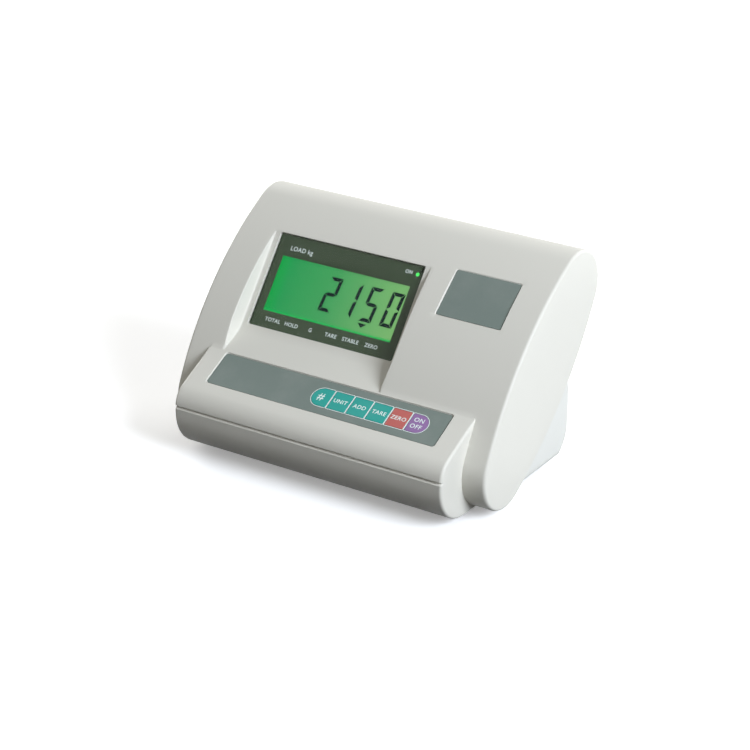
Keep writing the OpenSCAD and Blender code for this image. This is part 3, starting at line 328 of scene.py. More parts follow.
S0 = bow_at(SHELF_H)
SHELF_DOWN, SHELF_OUT = -turn(SHELF_TILT), turn(SHELF_TILT + 90)
UP, OUT = turn(TILT), turn(TILT + 90)
LEDGE_TOP = S0 - SHELF_DOWN * LEDGE
WINDOW_C = LEDGE_TOP + UP * (FOOT_GAP + WINDOW_H / 2)
TOP_Y = -DEPTH / 2 + TOP_R
TOP_C = np.array([TOP_Y, S0[1] + ((TOP_Y - S0[0]) * math.sin(math.radians(SHELF_TILT)) - TOP_R)
                  / math.cos(math.radians(SHELF_TILT))])
LOW_C = np.array([-DEPTH / 2 + LOW_R, FOOT + LOW_R])
PANEL_C = S0 + SHELF_DOWN * (2.0 + PANEL_H / 2)
PANEL_S = float((PANEL_C - S0) @ SHELF_DOWN)
PLATE_C, PLATE_TILT = bow_at(128.0), 39.5
PLATE_UP, PLATE_OUT = turn(PLATE_TILT), turn(PLATE_TILT + 90)
half_turn = (TILT - SHELF_TILT) / 2
FILLET_C = LEDGE_TOP + turn((TILT + SHELF_TILT) / 2 + 90) * FILLET / math.cos(math.radians(half_turn))
# where the flat floor ends, from the window's middle, and where the ledge starts, from its top
FILLET_B = float((FILLET_C - WINDOW_C) @ UP)
LEDGE_S = float((FILLET_C - LEDGE_TOP) @ SHELF_DOWN)


def on_front(p, d):
    """Angles in degrees at which lines from points p along unit directions d meet the front's circle,
    at the nearer of their two crossings."""
    w = p - FRONT
    b = (w * d).sum(-1)
    root = np.sqrt(b * b - (w * w).sum(-1) + FRONT_R ** 2)
    t = np.where(np.abs(b + root) < np.abs(root - b), -b - root, root - b)
    q = w + t[:, None] * d
    return np.degrees(np.arctan2(q[:, 1], q[:, 0])) % 360


def arc(centre, radius, degrees):
    """Points of a circle at some angles, and their normals."""
    return centre + radius * turn(degrees), turn(degrees)


def merge(values, gap):
    """Sorted values, without those closer than gap to the one before."""
    v = np.sort(np.asarray(values, float))
    return v[np.append(True, np.diff(v) > gap)]


def fill(marks, step):
    """Values through all the marks with even steps between them no longer than step."""
    marks = np.asarray(marks, float)
    parts = [np.linspace(a, b, max(1, int(np.ceil(abs(b - a) / step))) + 1)[:-1]
             for a, b in zip(marks[:-1], marks[1:])]
    return np.concatenate(parts + [marks[-1:]])


def edge_lines(size, corner, out=STEEP):
    """Grid lines that a seat of some size needs, both ways from its middle: its wall's two ends, and
    the rounding of its corners, at the corner's radius times one less the cosine."""
    half = size / 2 + SEAT_GAP
    inner = [half - corner * (1 - math.cos(math.radians(a))) for a in (30, 50, 70, 90)]
    return [side * v for v in [half + out, half - STEEP] + inner for side in (-1, 1)]


def floor_rows():
    """Rows of the display floor, ledge and bow above the shelf, as angles on the front circle, and
    the angles at which the floor begins and the shelf begins."""
    b = edge_lines(WINDOW_H, WINDOW_CORNER) + [*VIEW_OPENING[2:], *LAMP_OPENING[2:]]
    ang_floor = on_front(WINDOW_C + np.outer(b, UP), OUT)
    u = edge_lines(PLATE_H, PLATE_CORNER, RIM)
    ang_plate = on_front(PLATE_C + np.outer(u, PLATE_UP), PLATE_OUT)
    # where the floor meets the bow
    w = WINDOW_C - FRONT
    q = float(w @ UP)
    top = WINDOW_C + UP * (-q + math.sqrt(q * q - (w @ w - FRONT_R ** 2)))
    ang_t0 = float(np.degrees(np.arctan2(*(top - FRONT)[::-1])))
    ang_s0 = bow_angle(SHELF_H)
    d = turn(np.linspace(TILT - 90, SHELF_TILT - 90, 7))
    ang_fillet = on_front(FILLET_C + d * FILLET, -d)
    return np.concatenate([ang_floor, ang_plate, ang_fillet, [ang_t0, ang_s0]]), ang_t0, ang_s0


def rows(zone, base, nb, **more):
    """Rows of one zone. Floor and shelf points are the base's, but for what more says."""
    void = np.full(len(base), NOWHERE)
    return {"zone": np.full(len(base), zone), "B": base, "NB": nb, "F": base, "NF": nb, "S": base, "NS": nb,
            "b": void, "s": void, **more}


def front_rows(marks, a_t0, a_s0):
    """Rows of the bowed front above the shelf, with the display's flat floor, fillet and ledge."""
    gap = math.degrees(0.04 / FRONT_R)
    t = merge(fill(merge(np.concatenate([[FRONT_A0], marks]), gap), math.degrees(4.0 / FRONT_R)), gap)
    t = t[t > FRONT_A0 + gap]
    base = FRONT + FRONT_R * turn(t)
    b = (base - WINDOW_C) @ UP
    s = (base - LEDGE_TOP) @ SHELF_DOWN
    d = FILLET_C - base
    d /= np.linalg.norm(d, axis=1)[:, None]
    inside = (t > a_t0) & (t < a_s0)
    kinds = [where[:, None] for where in (~inside, b > FILLET_B, s > LEDGE_S)]
    floor = np.select(kinds, [base, WINDOW_C + np.outer(b, UP), LEDGE_TOP + np.outer(s, SHELF_DOWN)],
                      FILLET_C - d * FILLET)
    nf = np.select(kinds, [turn(t), OUT, SHELF_OUT], d)
    return rows(3, base, turn(t), F=floor, NF=nf, b=np.where(inside, b, NOWHERE))


def shelf_profile():
    """The shelf from its slope over its front to the bottom line: points, normals, and how far down
    the slope its own rows lie."""
    top0 = SHELF_TILT + 90
    slope = float((TOP_C + TOP_R * turn(top0) - S0) @ SHELF_DOWN)
    lines = [PANEL_S + v for v in edge_lines(PANEL_H, PANEL_CORNER, RIM) + [*KEYS_OPENING[2:]]]
    lines = [v for v in lines if 0 < v < slope]
    s = fill(merge([0.0] + lines + [slope], 0.04), 3.0)[1:]
    y = np.linspace(LOW_C[0], NOSE[0], 8)[1:-1]
    pts, nrm = (np.concatenate(v) for v in zip(
        (S0 + np.outer(s, SHELF_DOWN), np.tile(SHELF_OUT, (len(s), 1))),
        arc(TOP_C, TOP_R, np.linspace(top0, 180, 12)[1:]),
        arc(LOW_C, LOW_R, np.linspace(180, 270, 19)),
        (np.column_stack([y, np.full(len(y), FOOT)]), np.tile(turn(270), (len(y), 1)))))
    # rows of the groove, put in by height on the front face
    for z, _ in GROOVE:
        k = int(np.argmax((pts[:, 1] < z) & (pts[:, 0] < FRONT_FACE)))
        f = (z - pts[k - 1, 1]) / (pts[k, 1] - pts[k - 1, 1])
        p = pts[k - 1] + f * (pts[k] - pts[k - 1])
        pts = np.insert(pts, k, [p[0], z], axis=0)
        nrm = np.insert(nrm, k, nrm[k], axis=0)
    return pts, nrm, s


def shelf_rows(a_s0):
    """Rows of the shelf, matched with the bow and the nose behind it by equal shares of length, its
    front sunk by the groove's depths."""
    pts, nrm, s = shelf_profile()
    sunk = pts.copy()
    sunk[:, 0] += np.where(pts[:, 0] < FRONT_FACE, np.interp(pts[:, 1], *np.array(GROOVE[::-1]).T), 0.0)
    run = np.linalg.norm(np.diff(np.vstack([S0, pts]), axis=0), axis=1).cumsum()
    share = run / (run[-1] + np.linalg.norm(pts[-1] - [NOSE[0], FOOT]))
    arc_front = FRONT_R * math.radians(FRONT_A1 - a_s0)
    along = share * (arc_front + NOSE_R * math.radians(270 - FRONT_A1))
    high = along < arc_front
    t = np.where(high, a_s0 + np.degrees(along / FRONT_R),
                 FRONT_A1 + np.degrees((along - arc_front) / NOSE_R))
    base = np.where(high[:, None], FRONT + FRONT_R * turn(t), NOSE + NOSE_R * turn(t))
    coord = np.pad(s, (0, len(pts) - len(s)), constant_values=NOWHERE)
    return rows(4, base, turn(t), S=sunk, NS=nrm, s=coord)


def rows_of_case():
    """Rows round the case: base point and normal, floor point and normal, shelf point and normal,
    the display floor's coordinate, the shelf's coordinate and a number for each row's zone."""
    marks, a_t0, a_s0 = floor_rows()
    # nose, back, crown, front, shelf, and the bottom line where shelf and nose meet
    out = [rows(0, *arc(NOSE, NOSE_R, np.linspace(270, BACK_A0 + 360, 9)[1:])),
           rows(1, *arc(BACK, BACK_R, fill([BACK_A0 + 0.3, BACK_A1 - 0.3], 1.5))),
           rows(2, *arc(CROWN, CROWN_R, np.linspace(BACK_A1, FRONT_A0, 40))),
           front_rows(marks, a_t0, a_s0),
           shelf_rows(a_s0),
           rows(0, np.array([[NOSE[0], FOOT]]), turn(np.array([270.0])))]
    return {key: np.concatenate([r[key] for r in out]) for key in out[0]}


def rounded_box(x, y, half_x, half_y, corner):
    """Signed distance to a rectangle with rounded corners, negative inside."""
    dx, dy = np.abs(x) - half_x + corner, np.abs(y) - half_y + corner
    outside = np.hypot(np.maximum(dx, 0), np.maximum(dy, 0))
    return outside + np.minimum(np.maximum(dx, dy), 0) - corner


def columns():
    """Grid lines across the case. Each is a kind, a side, a number within its kind, and an x."""
    cols = []
    for side in (-1, 1):
        own = [("cheek", side, f, HALF_W) for f in (0.0, 0.6, 1.0)]
        own += [("round", side, a, HALF_W) for a in ROUND_ANGLES]
        own += [("bow", side, 0, x) for x in (HALF_W - WALL, 115.0, 109.5)]
        own += [("wall", side, f, SHELF_HALF) for f in WALL_SHARES]
        own += [("edge", side, a, SHELF_HALF) for a in ROUND_ANGLES]
        cols.append(own)
    seat = edge_lines(WINDOW_W, WINDOW_CORNER) + [*VIEW_OPENING[:2], *LAMP_OPENING[:2]]
    marks = np.array([WINDOW_X + v for v in seat] + edge_lines(PANEL_W, PANEL_CORNER, RIM)
                     + [KEYS_X + v for v in KEYS_OPENING[:2]]
                     + [PLATE_X + v for v in edge_lines(PLATE_W, PLATE_CORNER, RIM)])
    left, right = WINDOW_X - FLOOR_HALF, WINDOW_X + FLOOR_HALF
    last = SHELF_HALF - 2.2

    def plain(low, high, ends):
        between = marks[(marks > low) & (marks < high)]
        return [("plain", 0, 0, x) for x in fill(merge(np.concatenate([between, ends]), 0.05), 6.0)]

    recess = [[("recess", side, k, 0.0) for k in range(10)] for side in (-1, 1)]
    row = cols[0] + plain(-NOWHERE, left - 3, [-last, left - 3.2]) + recess[0][::-1]
    row += plain(left + 1.3, right - 1.3, [left + 1.2, right - 1.2]) + recess[1]
    return row + plain(right + 3, NOWHERE, [last, right + 3.2]) + cols[1][::-1]


def recess_line(k, h):
    """Place of wall line k, from the floor out, for depths h: distance past the floor's edge, and
    height. Two roundings, in the floor's corner and on the rim, and the sloping wall between."""
    rf, rr = 1.2 * h / (h + 1.2), 0.7 * h / (h + 0.7)
    run = FLARE * h
    if k <= 3:
        a = math.radians(30 * k)
        return -rf + rf * math.sin(a), rf * (1 - math.cos(a))
    if k >= 6:
        a = math.radians(30 * (k - 6))
        return run + rr * (1 - math.cos(a)), h - rr * (1 - math.sin(a))
    f = (k - 3) / 3
    return f * run, rf + f * (h - rr - rf)


def skin(r, cols):
    """Points (rows, columns, 3) of the case's outer form, before the seats are sunk."""
    B, S, F = r["B"], r["S"], r["F"]
    on_floor = r["b"] < NOWHERE
    deep = np.maximum(np.einsum("ij,ij->i", B - F, r["NF"]), 0)
    out_shelf = np.linalg.norm(S - B, axis=1)
    raised = out_shelf > 0
    # the shelf's rounding shrinks with its height over the bow; elsewhere the lines spread
    rad = EDGE_R * out_shelf / (out_shelf + EDGE_R)
    top = S - rad[:, None] * r["NS"]
    mid = (NOSE + CROWN) / 2
    grid = np.zeros((len(B), len(cols), 3))
    for j, (kind, side, f, x) in enumerate(cols):
        p, xs = B, side * x
        if kind == "cheek":
            p = mid + f * (B - EDGE_R * r["NB"] - mid)
        elif kind == "round":
            a = math.radians(f)
            p = B - EDGE_R * (1 - math.sin(a)) * r["NB"]
            xs = side * (x - EDGE_R + EDGE_R * math.cos(a))
        elif kind == "wall":
            p = B + f * (top - B)
            xs = side * np.where(raised, SHELF_HALF, SHELF_HALF - 0.25 * WALL_SHARES.index(f))
        elif kind == "edge":
            a = math.radians(f)
            p = top + (rad * math.sin(a))[:, None] * r["NS"]
            low = SHELF_HALF - 0.75 - 0.015 * f
            xs = side * np.where(raised, SHELF_HALF - rad * (1 - math.cos(a)), low)
        elif kind == "recess":
            along, h = recess_line(f, deep)
            p = np.where(on_floor[:, None], F + h[:, None] * r["NF"], S)
            xs = WINDOW_X + side * (FLOOR_HALF + np.where(on_floor, along, (f - 3) * 0.28))
        elif kind == "plain":
            p = np.where((on_floor & (abs(x - WINDOW_X) < FLOOR_HALF))[:, None], F, S)
            xs = x
        grid[:, j, 0] = xs
        grid[:, j, 1:] = p
    return grid


def sunk_share(across, up, near, size, corner, out=STEEP):
    """Share of a seat's depth: full inside its outline, none out of it, even in between."""
    half = [v / 2 + SEAT_GAP for v in size]
    past = rounded_box(across, np.where(near, up, NOWHERE), *half, corner)
    return np.clip((out - past) / (out + STEEP), 0, 1) * near


def sink_seats(grid, r):
    """Sinks the window into the floor, the key panel into the shelf and the plate into the bow."""
    x, yz = grid[..., 0], grid[..., 1:]
    b, s, zone = (r[key][:, None] for key in ("b", "s", "zone"))
    near = (b < NOWHERE) & (np.abs(x - WINDOW_X) < FLOOR_HALF - 1)
    share = sunk_share(x - WINDOW_X, b, near, (WINDOW_W, WINDOW_H), WINDOW_CORNER)
    yz -= (WINDOW_SEAT * share)[..., None] * OUT
    near = (s < NOWHERE) & (np.abs(x) < SHELF_HALF - 2.5)
    share = sunk_share(x, s - PANEL_S, near, (PANEL_W, PANEL_H), PANEL_CORNER, RIM)
    yz -= (PANEL_SEAT * share)[..., None] * SHELF_OUT
    u, w = (yz - PLATE_C) @ PLATE_UP, (yz - PLATE_C) @ PLATE_OUT
    near = (zone == 3) & (np.abs(x - PLATE_X) < 27) & (np.abs(u) < 20)
    share = sunk_share(x - PLATE_X, u, near, (PLATE_W, PLATE_H), PLATE_CORNER, RIM)
    yz += (share * (-PLATE_SEAT - w))[..., None] * PLATE_OUT


def cells_to_keep(x, r):
    """Mask of the cells: all but the back's opening and those behind window, lamp and keys. A cell
    lies in an opening if its middle does."""
    xm = (x[:, :-1] + np.roll(x, -1, axis=0)[:, 1:]) / 2
    b, s = (np.append((r[key][:-1] + r[key][1:]) / 2, NOWHERE)[:, None] for key in ("b", "s"))
    zone = r["zone"]
    back = (zone == 1) & (np.roll(zone, -1) == 1)
    keep = ~(back[:, None] & (np.abs(xm) < HALF_W - WALL))
    for across, up, (left, right, low, high) in (
            (xm - WINDOW_X, b, VIEW_OPENING), (xm - WINDOW_X, b, LAMP_OPENING),
            (xm - KEYS_X, s - PANEL_S, KEYS_OPENING)):
        keep &= ~((across > left) & (across < right) & (up > low) & (up < high))
    return keep


def housing():
    """Points (rows, columns, 3) of the front shell's outer skin, and a mask of cells to keep."""
    r = rows_of_case()
    grid = skin(r, columns())
    sink_seats(grid, r)
    return grid, cells_to_keep(grid[..., 0], r)


def quads_of(shape, keep):
    """Corner numbers of a grid's cells, for the cells to keep. The last row joins the first."""
    n, m = shape
    i, j = np.nonzero(keep)
    i2 = (i + 1) % n
    return np.stack([i * m + j, i * m + j + 1, i2 * m + j + 1, i2 * m + j], -1)


def joined(points, gap):
    """The first of the points at each step of a lattice, and each point's number among these."""
    _, first, where = np.unique(np.round(points / gap).astype(np.int64), axis=0, return_index=True,
                                return_inverse=True)
    return first, where.reshape(-1)


def weld(points, quads, gap):
    """Joins points closer than gap and drops faces without area. Returns points, quads and
    triangles."""
    first, where = joined(points, gap)
    q = where[quads]
    same = q == np.roll(q, -1, axis=1)
    apart = (q[:, 0] != q[:, 2]) & (q[:, 1] != q[:, 3])
    whole, one = apart & ~same.any(1), apart & (same.sum(1) == 1)
    drop = np.argmax(same[one], axis=1)
    whole, tris = q[whole], q[one][np.arange(4) != drop[:, None]].reshape(-1, 3)
    used = np.unique(np.concatenate([whole.ravel(), tris.ravel()]))
    back = np.full(len(first), -1)
    back[used] = np.arange(len(used))
    return points[first][used], back[whole], back[tris]


# Places of the looks' own pieces, in millimetres. A level is measured outwards from a slope's plane.
DISPLAY = ((WINDOW_X, *WINDOW_C), TILT)

# Glass: half its width, its lower edge up the slope from the window's middle, and its height
LCD_HALF, LCD_LOW, LCD_H = 52.35, -21.9, 40.6

# Digits: their strokes by the letters of segments(), their width as a share of the height, their
# slant in degrees, and the place of the last one's lower right corner, across and below the window's top
DIGITS = {"0": "abcdef", "1": "bc", "2": "abged", "3": "abgcd", "4": "fgbc", "5": "afgcd", "6": "afgedc",
          "7": "abc", "8": "abcdefg", "9": "abcdfg", "-": "g", " ": ""}
DIGIT_SHARE, DIGIT_SLANT, DIGITS_RIGHT, DIGITS_DOWN = 0.4, 4.5, 17.1, 46.6
DIGIT_LEVELS = (-3.62, -3.55)
MARKER = ((-9.3, 48.1), (-5.7, 51.2), (-2.1, 48.1))

# Words on the border: text, height, and the place of the middle, across and below the window's top
BORDER_LEVEL = -1.8
BORDER_WORDS = [("LOAD kg", 3.3, -70.7, 9.3), ("ON", 2.6, 16.2, 5.8)]
BORDER_WORDS += [(text, 2.8, x, 62.0) for text, x in (
    ("TOTAL", -73.3), ("HOLD", -57.6), ("G", -41.7), ("TARE", -24.8), ("STABLE", -8.7), ("ZERO", 8.2))]

# Keys, left to right: body, slot, and words with their height and their place on the key
KEYS = [("count_key", "key_teal", [("#", 6.2, -0.2, 0.0)])]
KEYS += [(body, slot, [(text, 3.2, 0.0, 0.0)]) for body, slot, text in (
    ("mode_key", "key_teal", "UNIT"), ("total_key", "key_teal", "ADD"), ("tare_key", "key_teal", "TARE"),
    ("zero_key", "key_red", "ZERO"))]
KEYS += [("power_key", "key_violet", [("ON", 3.5, -0.6, 2.7), ("OFF", 3.5, -0.6, -2.7)])]

# A cap's edge from below, as growth and level, the gap between keys, and the lines round them
CAP_PROFILE = ((-0.15, -1.4), (-0.15, -0.62), (-0.19, -0.55), (-0.28, -0.51), (-0.45, -0.5))
CAP_TOP, KEY_GAP, KEY_CORNER, KEY_CLEAR = -0.5, 1.2, 0.5, 0.16
OUTLINE_LEVELS = (-0.6, -0.57)

# Letters: a capital's share of the font's size, half their thickness, and their spacing
CAPITAL_SHARE, LETTER_HALF, LETTER_SPACING = 0.73, 0.02, 1.08

# Pieces inside the case: slot, nodes, colour and roughness
INSIDE = (("board_green", ("display_board", "key_board", "main_board"), (26, 104, 56), 0.35),
          ("white_plastic", ("board_headers",), (232, 232, 224), 0.5),
          ("can", ("capacitors",), (38, 51, 92), 0.35),
          ("coil_tape", ("transformer_coil",), (184, 134, 60), 0.4),
          ("battery_case", ("battery",), (52, 54, 58), 0.5),
          ("ribbon_grey", ("display_ribbon", "key_ribbon"), (176, 178, 182), 0.55),
          ("lead_red", ("battery_leads",), (188, 40, 34), 0.45),
          ("lead_blue", ("transformer_leads",), (52, 78, 176), 0.45),
          ("lead_brown", ("mains_leads",), (96, 66, 42), 0.45),
          ("lead_black", ("load_cell_leads",), (38, 38, 41), 0.45))

# Joining distance of a copy's corners in metres, and the least length that is divided by
WELD, TINY = 2e-6, 1e-20


# Mesh helpers

def mesh_object(name, points, quads=(), tris=(), angle=35.0):
    """An object at the origin from points in metres, smooth but for edges sharper than an angle."""
    quads = np.asarray(quads, np.int32).reshape(-1, 4)
    tris = np.asarray(tris, np.int32).reshape(-1, 3)
    sizes = np.repeat([4, 3], [len(quads), len(tris)])
    mesh = bpy.data.meshes.new(name)
    mesh.vertices.add(len(points))
    mesh.vertices.foreach_set("co", np.asarray(points, np.float32).ravel())
    mesh.loops.add(int(sizes.sum()))
    mesh.loops.foreach_set("vertex_index", np.concatenate([quads.ravel(), tris.ravel()]))
    mesh.polygons.add(len(sizes))
    mesh.polygons.foreach_set("loop_start", np.concatenate([[0], np.cumsum(sizes)[:-1]]))
    mesh.update(calc_edges=True)
    mesh.validate()
    mesh.polygons.foreach_set("use_smooth", np.ones(len(mesh.polygons), bool))
    mesh.set_sharp_from_angle(angle=math.radians(angle))
    return linked(name, mesh)


def linked(name, data):
    """An object in the scene for some data."""
    obj = bpy.data.objects.new(name, data)
    bpy.context.scene.collection.objects.link(obj)
    return obj


def outward(points, quads, tris=np.zeros((0, 3), int)):
    """The same faces, all turned over if the closed surface encloses a negative volume."""
    t = np.concatenate([quads[:, [0, 1, 2]], quads[:, [0, 2, 3]], tris])
    p = points[t]
    volume = np.einsum("ij,ij->i", p[:, 0], np.cross(p[:, 1], p[:, 2])).sum()
    return (quads, tris) if volume > 0 else (quads[:, ::-1], tris[:, ::-1])


def placed(points, origin, tilt):
    """Local points in millimetres (across, up the slope, out of it) in metres: the origin plus up
    times the slope's direction plus out times the direction square to it."""
    u, o = turn(tilt), turn(tilt + 90)
    p = np.asarray(points, float)
    return MM * np.stack([origin[0] + p[..., 0], origin[1] + p[..., 1] * u[0] + p[..., 2] * o[0],
                          origin[2] + p[..., 1] * u[1] + p[..., 2] * o[1]], -1)


def level_line(line, z):
    """A plane outline as points at one level."""
    return np.column_stack([line, np.full(len(line), z)])


def strip(pairs, n):
    """Faces between pairs of rows of n points, each row a closed loop."""
    a = np.arange(n)
    b = (a + 1) % n
    return np.concatenate([np.stack([p * n + a, p * n + b, q * n + b, q * n + a], -1) for p, q in pairs])


def rings(name, loops, place, angle=35.0):
    """A closed piece from loops of equal length, bottom to top. Both ends close in their middle."""
    loops = np.asarray(loops, float)
    k, n = loops.shape[:2]
    points = np.concatenate([loops.reshape(-1, 3), [loops[0].mean(0), loops[-1].mean(0)]])
    a = np.arange(n)
    b = (a + 1) % n
    low, high = np.full(n, k * n), np.full(n, k * n + 1)
    last = (k - 1) * n
    tris = np.concatenate([np.stack([b, a, low], -1), np.stack([last + a, last + b, high], -1)])
    quads, tris = outward(points, strip([(i, i + 1) for i in range(k - 1)], n), tris)
    return mesh_object(name, placed(points, *place), quads, tris, angle)


def prisms(name, outlines, z0, z1, place):
    """Thin closed solids from level z0 to z1 on convex outlines, all in one object."""
    parts, start = [], 0
    for line in outlines:
        n = len(line)
        points = np.concatenate([level_line(line, z) for z in (z0, z1)])
        f = np.arange(1, n - 1)
        first = 0 * f
        caps = np.concatenate([n + np.stack([first, f, f + 1], -1), np.stack([first, f + 1, f], -1)])
        quads, tris = outward(points, strip([(0, 1)], n), caps)
        parts.append((points, start + quads, start + tris))
        start += 2 * n
    points, quads, tris = (np.concatenate(v) for v in zip(*parts))
    return mesh_object(name, placed(points, *place), quads, tris, 20.0)


def lettering(name, text, size, middle, place, level, bold):
    """A word as a thin solid mesh on a slope. size is the letters' height, middle the place of the
    word's middle, level that of its underside and bold what its strokes gain, in millimetres."""
    curve = bpy.data.curves.new(name, "FONT")
    curve.body = text
    curve.align_x = "CENTER"
    curve.align_y = "CENTER"
    curve.size = size / CAPITAL_SHARE
    curve.extrude = LETTER_HALF
    curve.offset = bold
    curve.resolution_u = 4
    curve.space_character = LETTER_SPACING
    holder = linked(name + "_line", curve)
    bpy.context.view_layer.update()
    mesh = bpy.data.meshes.new_from_object(holder.evaluated_get(bpy.context.evaluated_depsgraph_get()))
    mesh.name = name
    bpy.data.objects.remove(holder)
    bpy.data.curves.remove(curve)
    co = corners_of(mesh) + [middle[0], middle[1], level + LETTER_HALF]
    mesh.vertices.foreach_set("co", placed(co, *place).astype(np.float32).ravel())
    mesh.update()
    return linked(name, mesh)


def corners_of(mesh):
    """The points of a mesh as an array."""
    co = np.empty(len(mesh.vertices) * 3, np.float32)
    mesh.vertices.foreach_get("co", co)
    return co.reshape(-1, 3).astype(float)


def leaning_normals(co, tri, angle):
    """Normals for the corners of triangles. A corner's normal is the sum, by area, of those of the
    faces at its point that lie within an angle of its own, so flats stay flat and arcs round."""
    cross = np.cross(co[tri[:, 1]] - co[tri[:, 0]], co[tri[:, 2]] - co[tri[:, 0]])
    size = np.linalg.norm(cross, axis=1)
    unit = cross / np.maximum(size, TINY)[:, None]
    corner, face = tri.ravel(), np.repeat(np.arange(len(tri)), 3)
    order = np.argsort(corner, kind="stable")
    corner, face = corner[order], face[order]
    total = cross[face]
    limit = math.cos(math.radians(angle))
    for step in range(1, int(np.bincount(corner).max())):
        a = np.nonzero(corner[step:] == corner[:-step])[0]
        b = a + step
        near = np.einsum("ij,ij->i", unit[face[a]], unit[face[b]]) > limit
        a, b = a[near], b[near]
        np.add.at(total, a, cross[face[b]])
        np.add.at(total, b, cross[face[a]])
    normal = np.empty_like(total)
    normal[order] = total / np.maximum(np.linalg.norm(total, axis=1), TINY)[:, None]
    return normal


def smooth_copy(node, name, angle=32.0):
    """A welded copy of a CAD node with leaning normals. It rides on the node's body and replaces it."""
    mesh = frame["nodes"][node].data
    co = corners_of(mesh)
    mesh.calc_loop_triangles()
    tri = np.empty(len(mesh.loop_triangles) * 3, np.int32)
    mesh.loop_triangles.foreach_get("vertices", tri)
    first, where = joined(co, WELD)
    co, tri = co[first], where[tri].reshape(-1, 3)
    tri = tri[(tri != np.roll(tri, 1, axis=1)).all(1)]
    obj = mesh_object(name, co, (), tri, 180.0)
    normal = leaning_normals(co, tri, angle)
    if len(obj.data.loops) == len(normal):
        obj.data.normals_split_custom_set(normal.tolist())
    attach(obj, "door" if node == "battery_door" else "case")
    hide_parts(node)
    return obj


def copies(nodes, ending):
    """Smooth copies of several nodes, each named after its node."""
    return [smooth_copy(node, node + ending) for node in nodes]


# Properties

def colour(name, description, *levels):
    """A colour property, its default given in display values from 0 to 255."""
    return bpy.props.FloatVectorProperty(name=name, description=description, default=srgb(*levels),
                                         subtype="COLOR")


def measure(name, description, default, low, high):
    """A length property in metres with its limits."""
    return bpy.props.FloatProperty(name=name, description=description, default=default, min=low, max=high,
                                   unit="LENGTH")


class IndicatorLooks(bpy.types.PropertyGroup):
    """Sizes and colours that a user can change."""
    case_colour: colour("Case colour", "Colour of the front shell", 211, 209, 200)
    rear_colour: colour("Rear colour", "Colour of the rear shell", 210, 210, 204)
    film_colour: colour("Film colour", "Colour of key panel and plate", 108, 121, 115)
    border_colour: colour("Border colour", "Colour of the display's border", 66, 82, 60)
    key_colour: colour("Key colour", "Colour of the first four keys", 14, 154, 143)
    zero_colour: colour("Zero key colour", "Colour of the fifth key", 183, 92, 86)
    power_colour: colour("Power key colour", "Colour of the sixth key", 138, 102, 155)
    print_colour: colour("Print colour", "Colour of words and outlines", 226, 238, 234)
    digit_colour: colour("Digit colour", "Colour of the digits", 4, 34, 34)
    reading: bpy.props.StringProperty(name="Reading", description="Digits on the display", default="2150")
    shell_wall: measure("Shown wall", "Thickness of the shown front shell", 0.0015, 0.0005, 0.0025)
    digit_height: measure("Digit height", "Height of the digits", 0.0252, 0.015, 0.03)
    digit_pitch: measure("Digit pitch", "Distance from one digit to the next", 0.0168, 0.012, 0.022)
    stroke: measure("Stroke", "Width of a digit's strokes", 0.0026, 0.001, 0.0035)
    outline: measure("Key outline", "Width of the pale line round a key", 0.00045, 0.0002, 0.0006)


# Operators

def aimed(name, data, place, aim):
    """A lamp or camera at a place, turned to look at a point."""
    obj = linked(name, data)
    obj.location = place
    obj.rotation_euler = (Vector(aim) - Vector(place)).to_track_quat("-Z", "Y").to_euler()
    return obj


def floor_paint():
    """Floor: white to the eye and in reflections, more so far away, and dark for the light that it
    throws back on the object."""
    n = made_of_nodes(bpy.data.materials.new("floor_paint"))
    seen = n.seen()
    tint = n.mix(seen, (0.03, 0.03, 0.03), (0.93, 0.93, 0.93))
    away = n.add("ShaderNodeVectorMath", {"operation": "LENGTH"}, **{"0": n.place()}).outputs["Value"]
    glow = n.mix(n.math("MULTIPLY", seen, n.spread(away, 0.5, 2.6, 0.3, 0.95)), BLACK, WHITE)
    return n.surface(Base_Color=tint, Roughness=0.9, Specular_IOR_Level=0.0, Emission_Color=glow,
                     Emission_Strength=1.0)


def studio():
    """Surroundings: a soft light that grows towards the zenith, white where they are seen."""
    n = made_of_nodes(bpy.data.worlds.new("studio"))
    height = n.part(n.add("ShaderNodeTexCoord").outputs["Generated"], "Z")
    lit = n.add("ShaderNodeBackground", Color=(1.0, 0.995, 0.96),
                Strength=n.spread(height, 0.0, 1.0, 0.05, 0.37))
    white = n.add("ShaderNodeBackground", Color=WHITE, Strength=1.0)
    both = n.add("ShaderNodeMixShader", **{"0": n.seen(), "1": lit.outputs[0], "2": white.outputs[0]})
    n.add("ShaderNodeOutputWorld", Surface=both.outputs[0])
    return n.owner


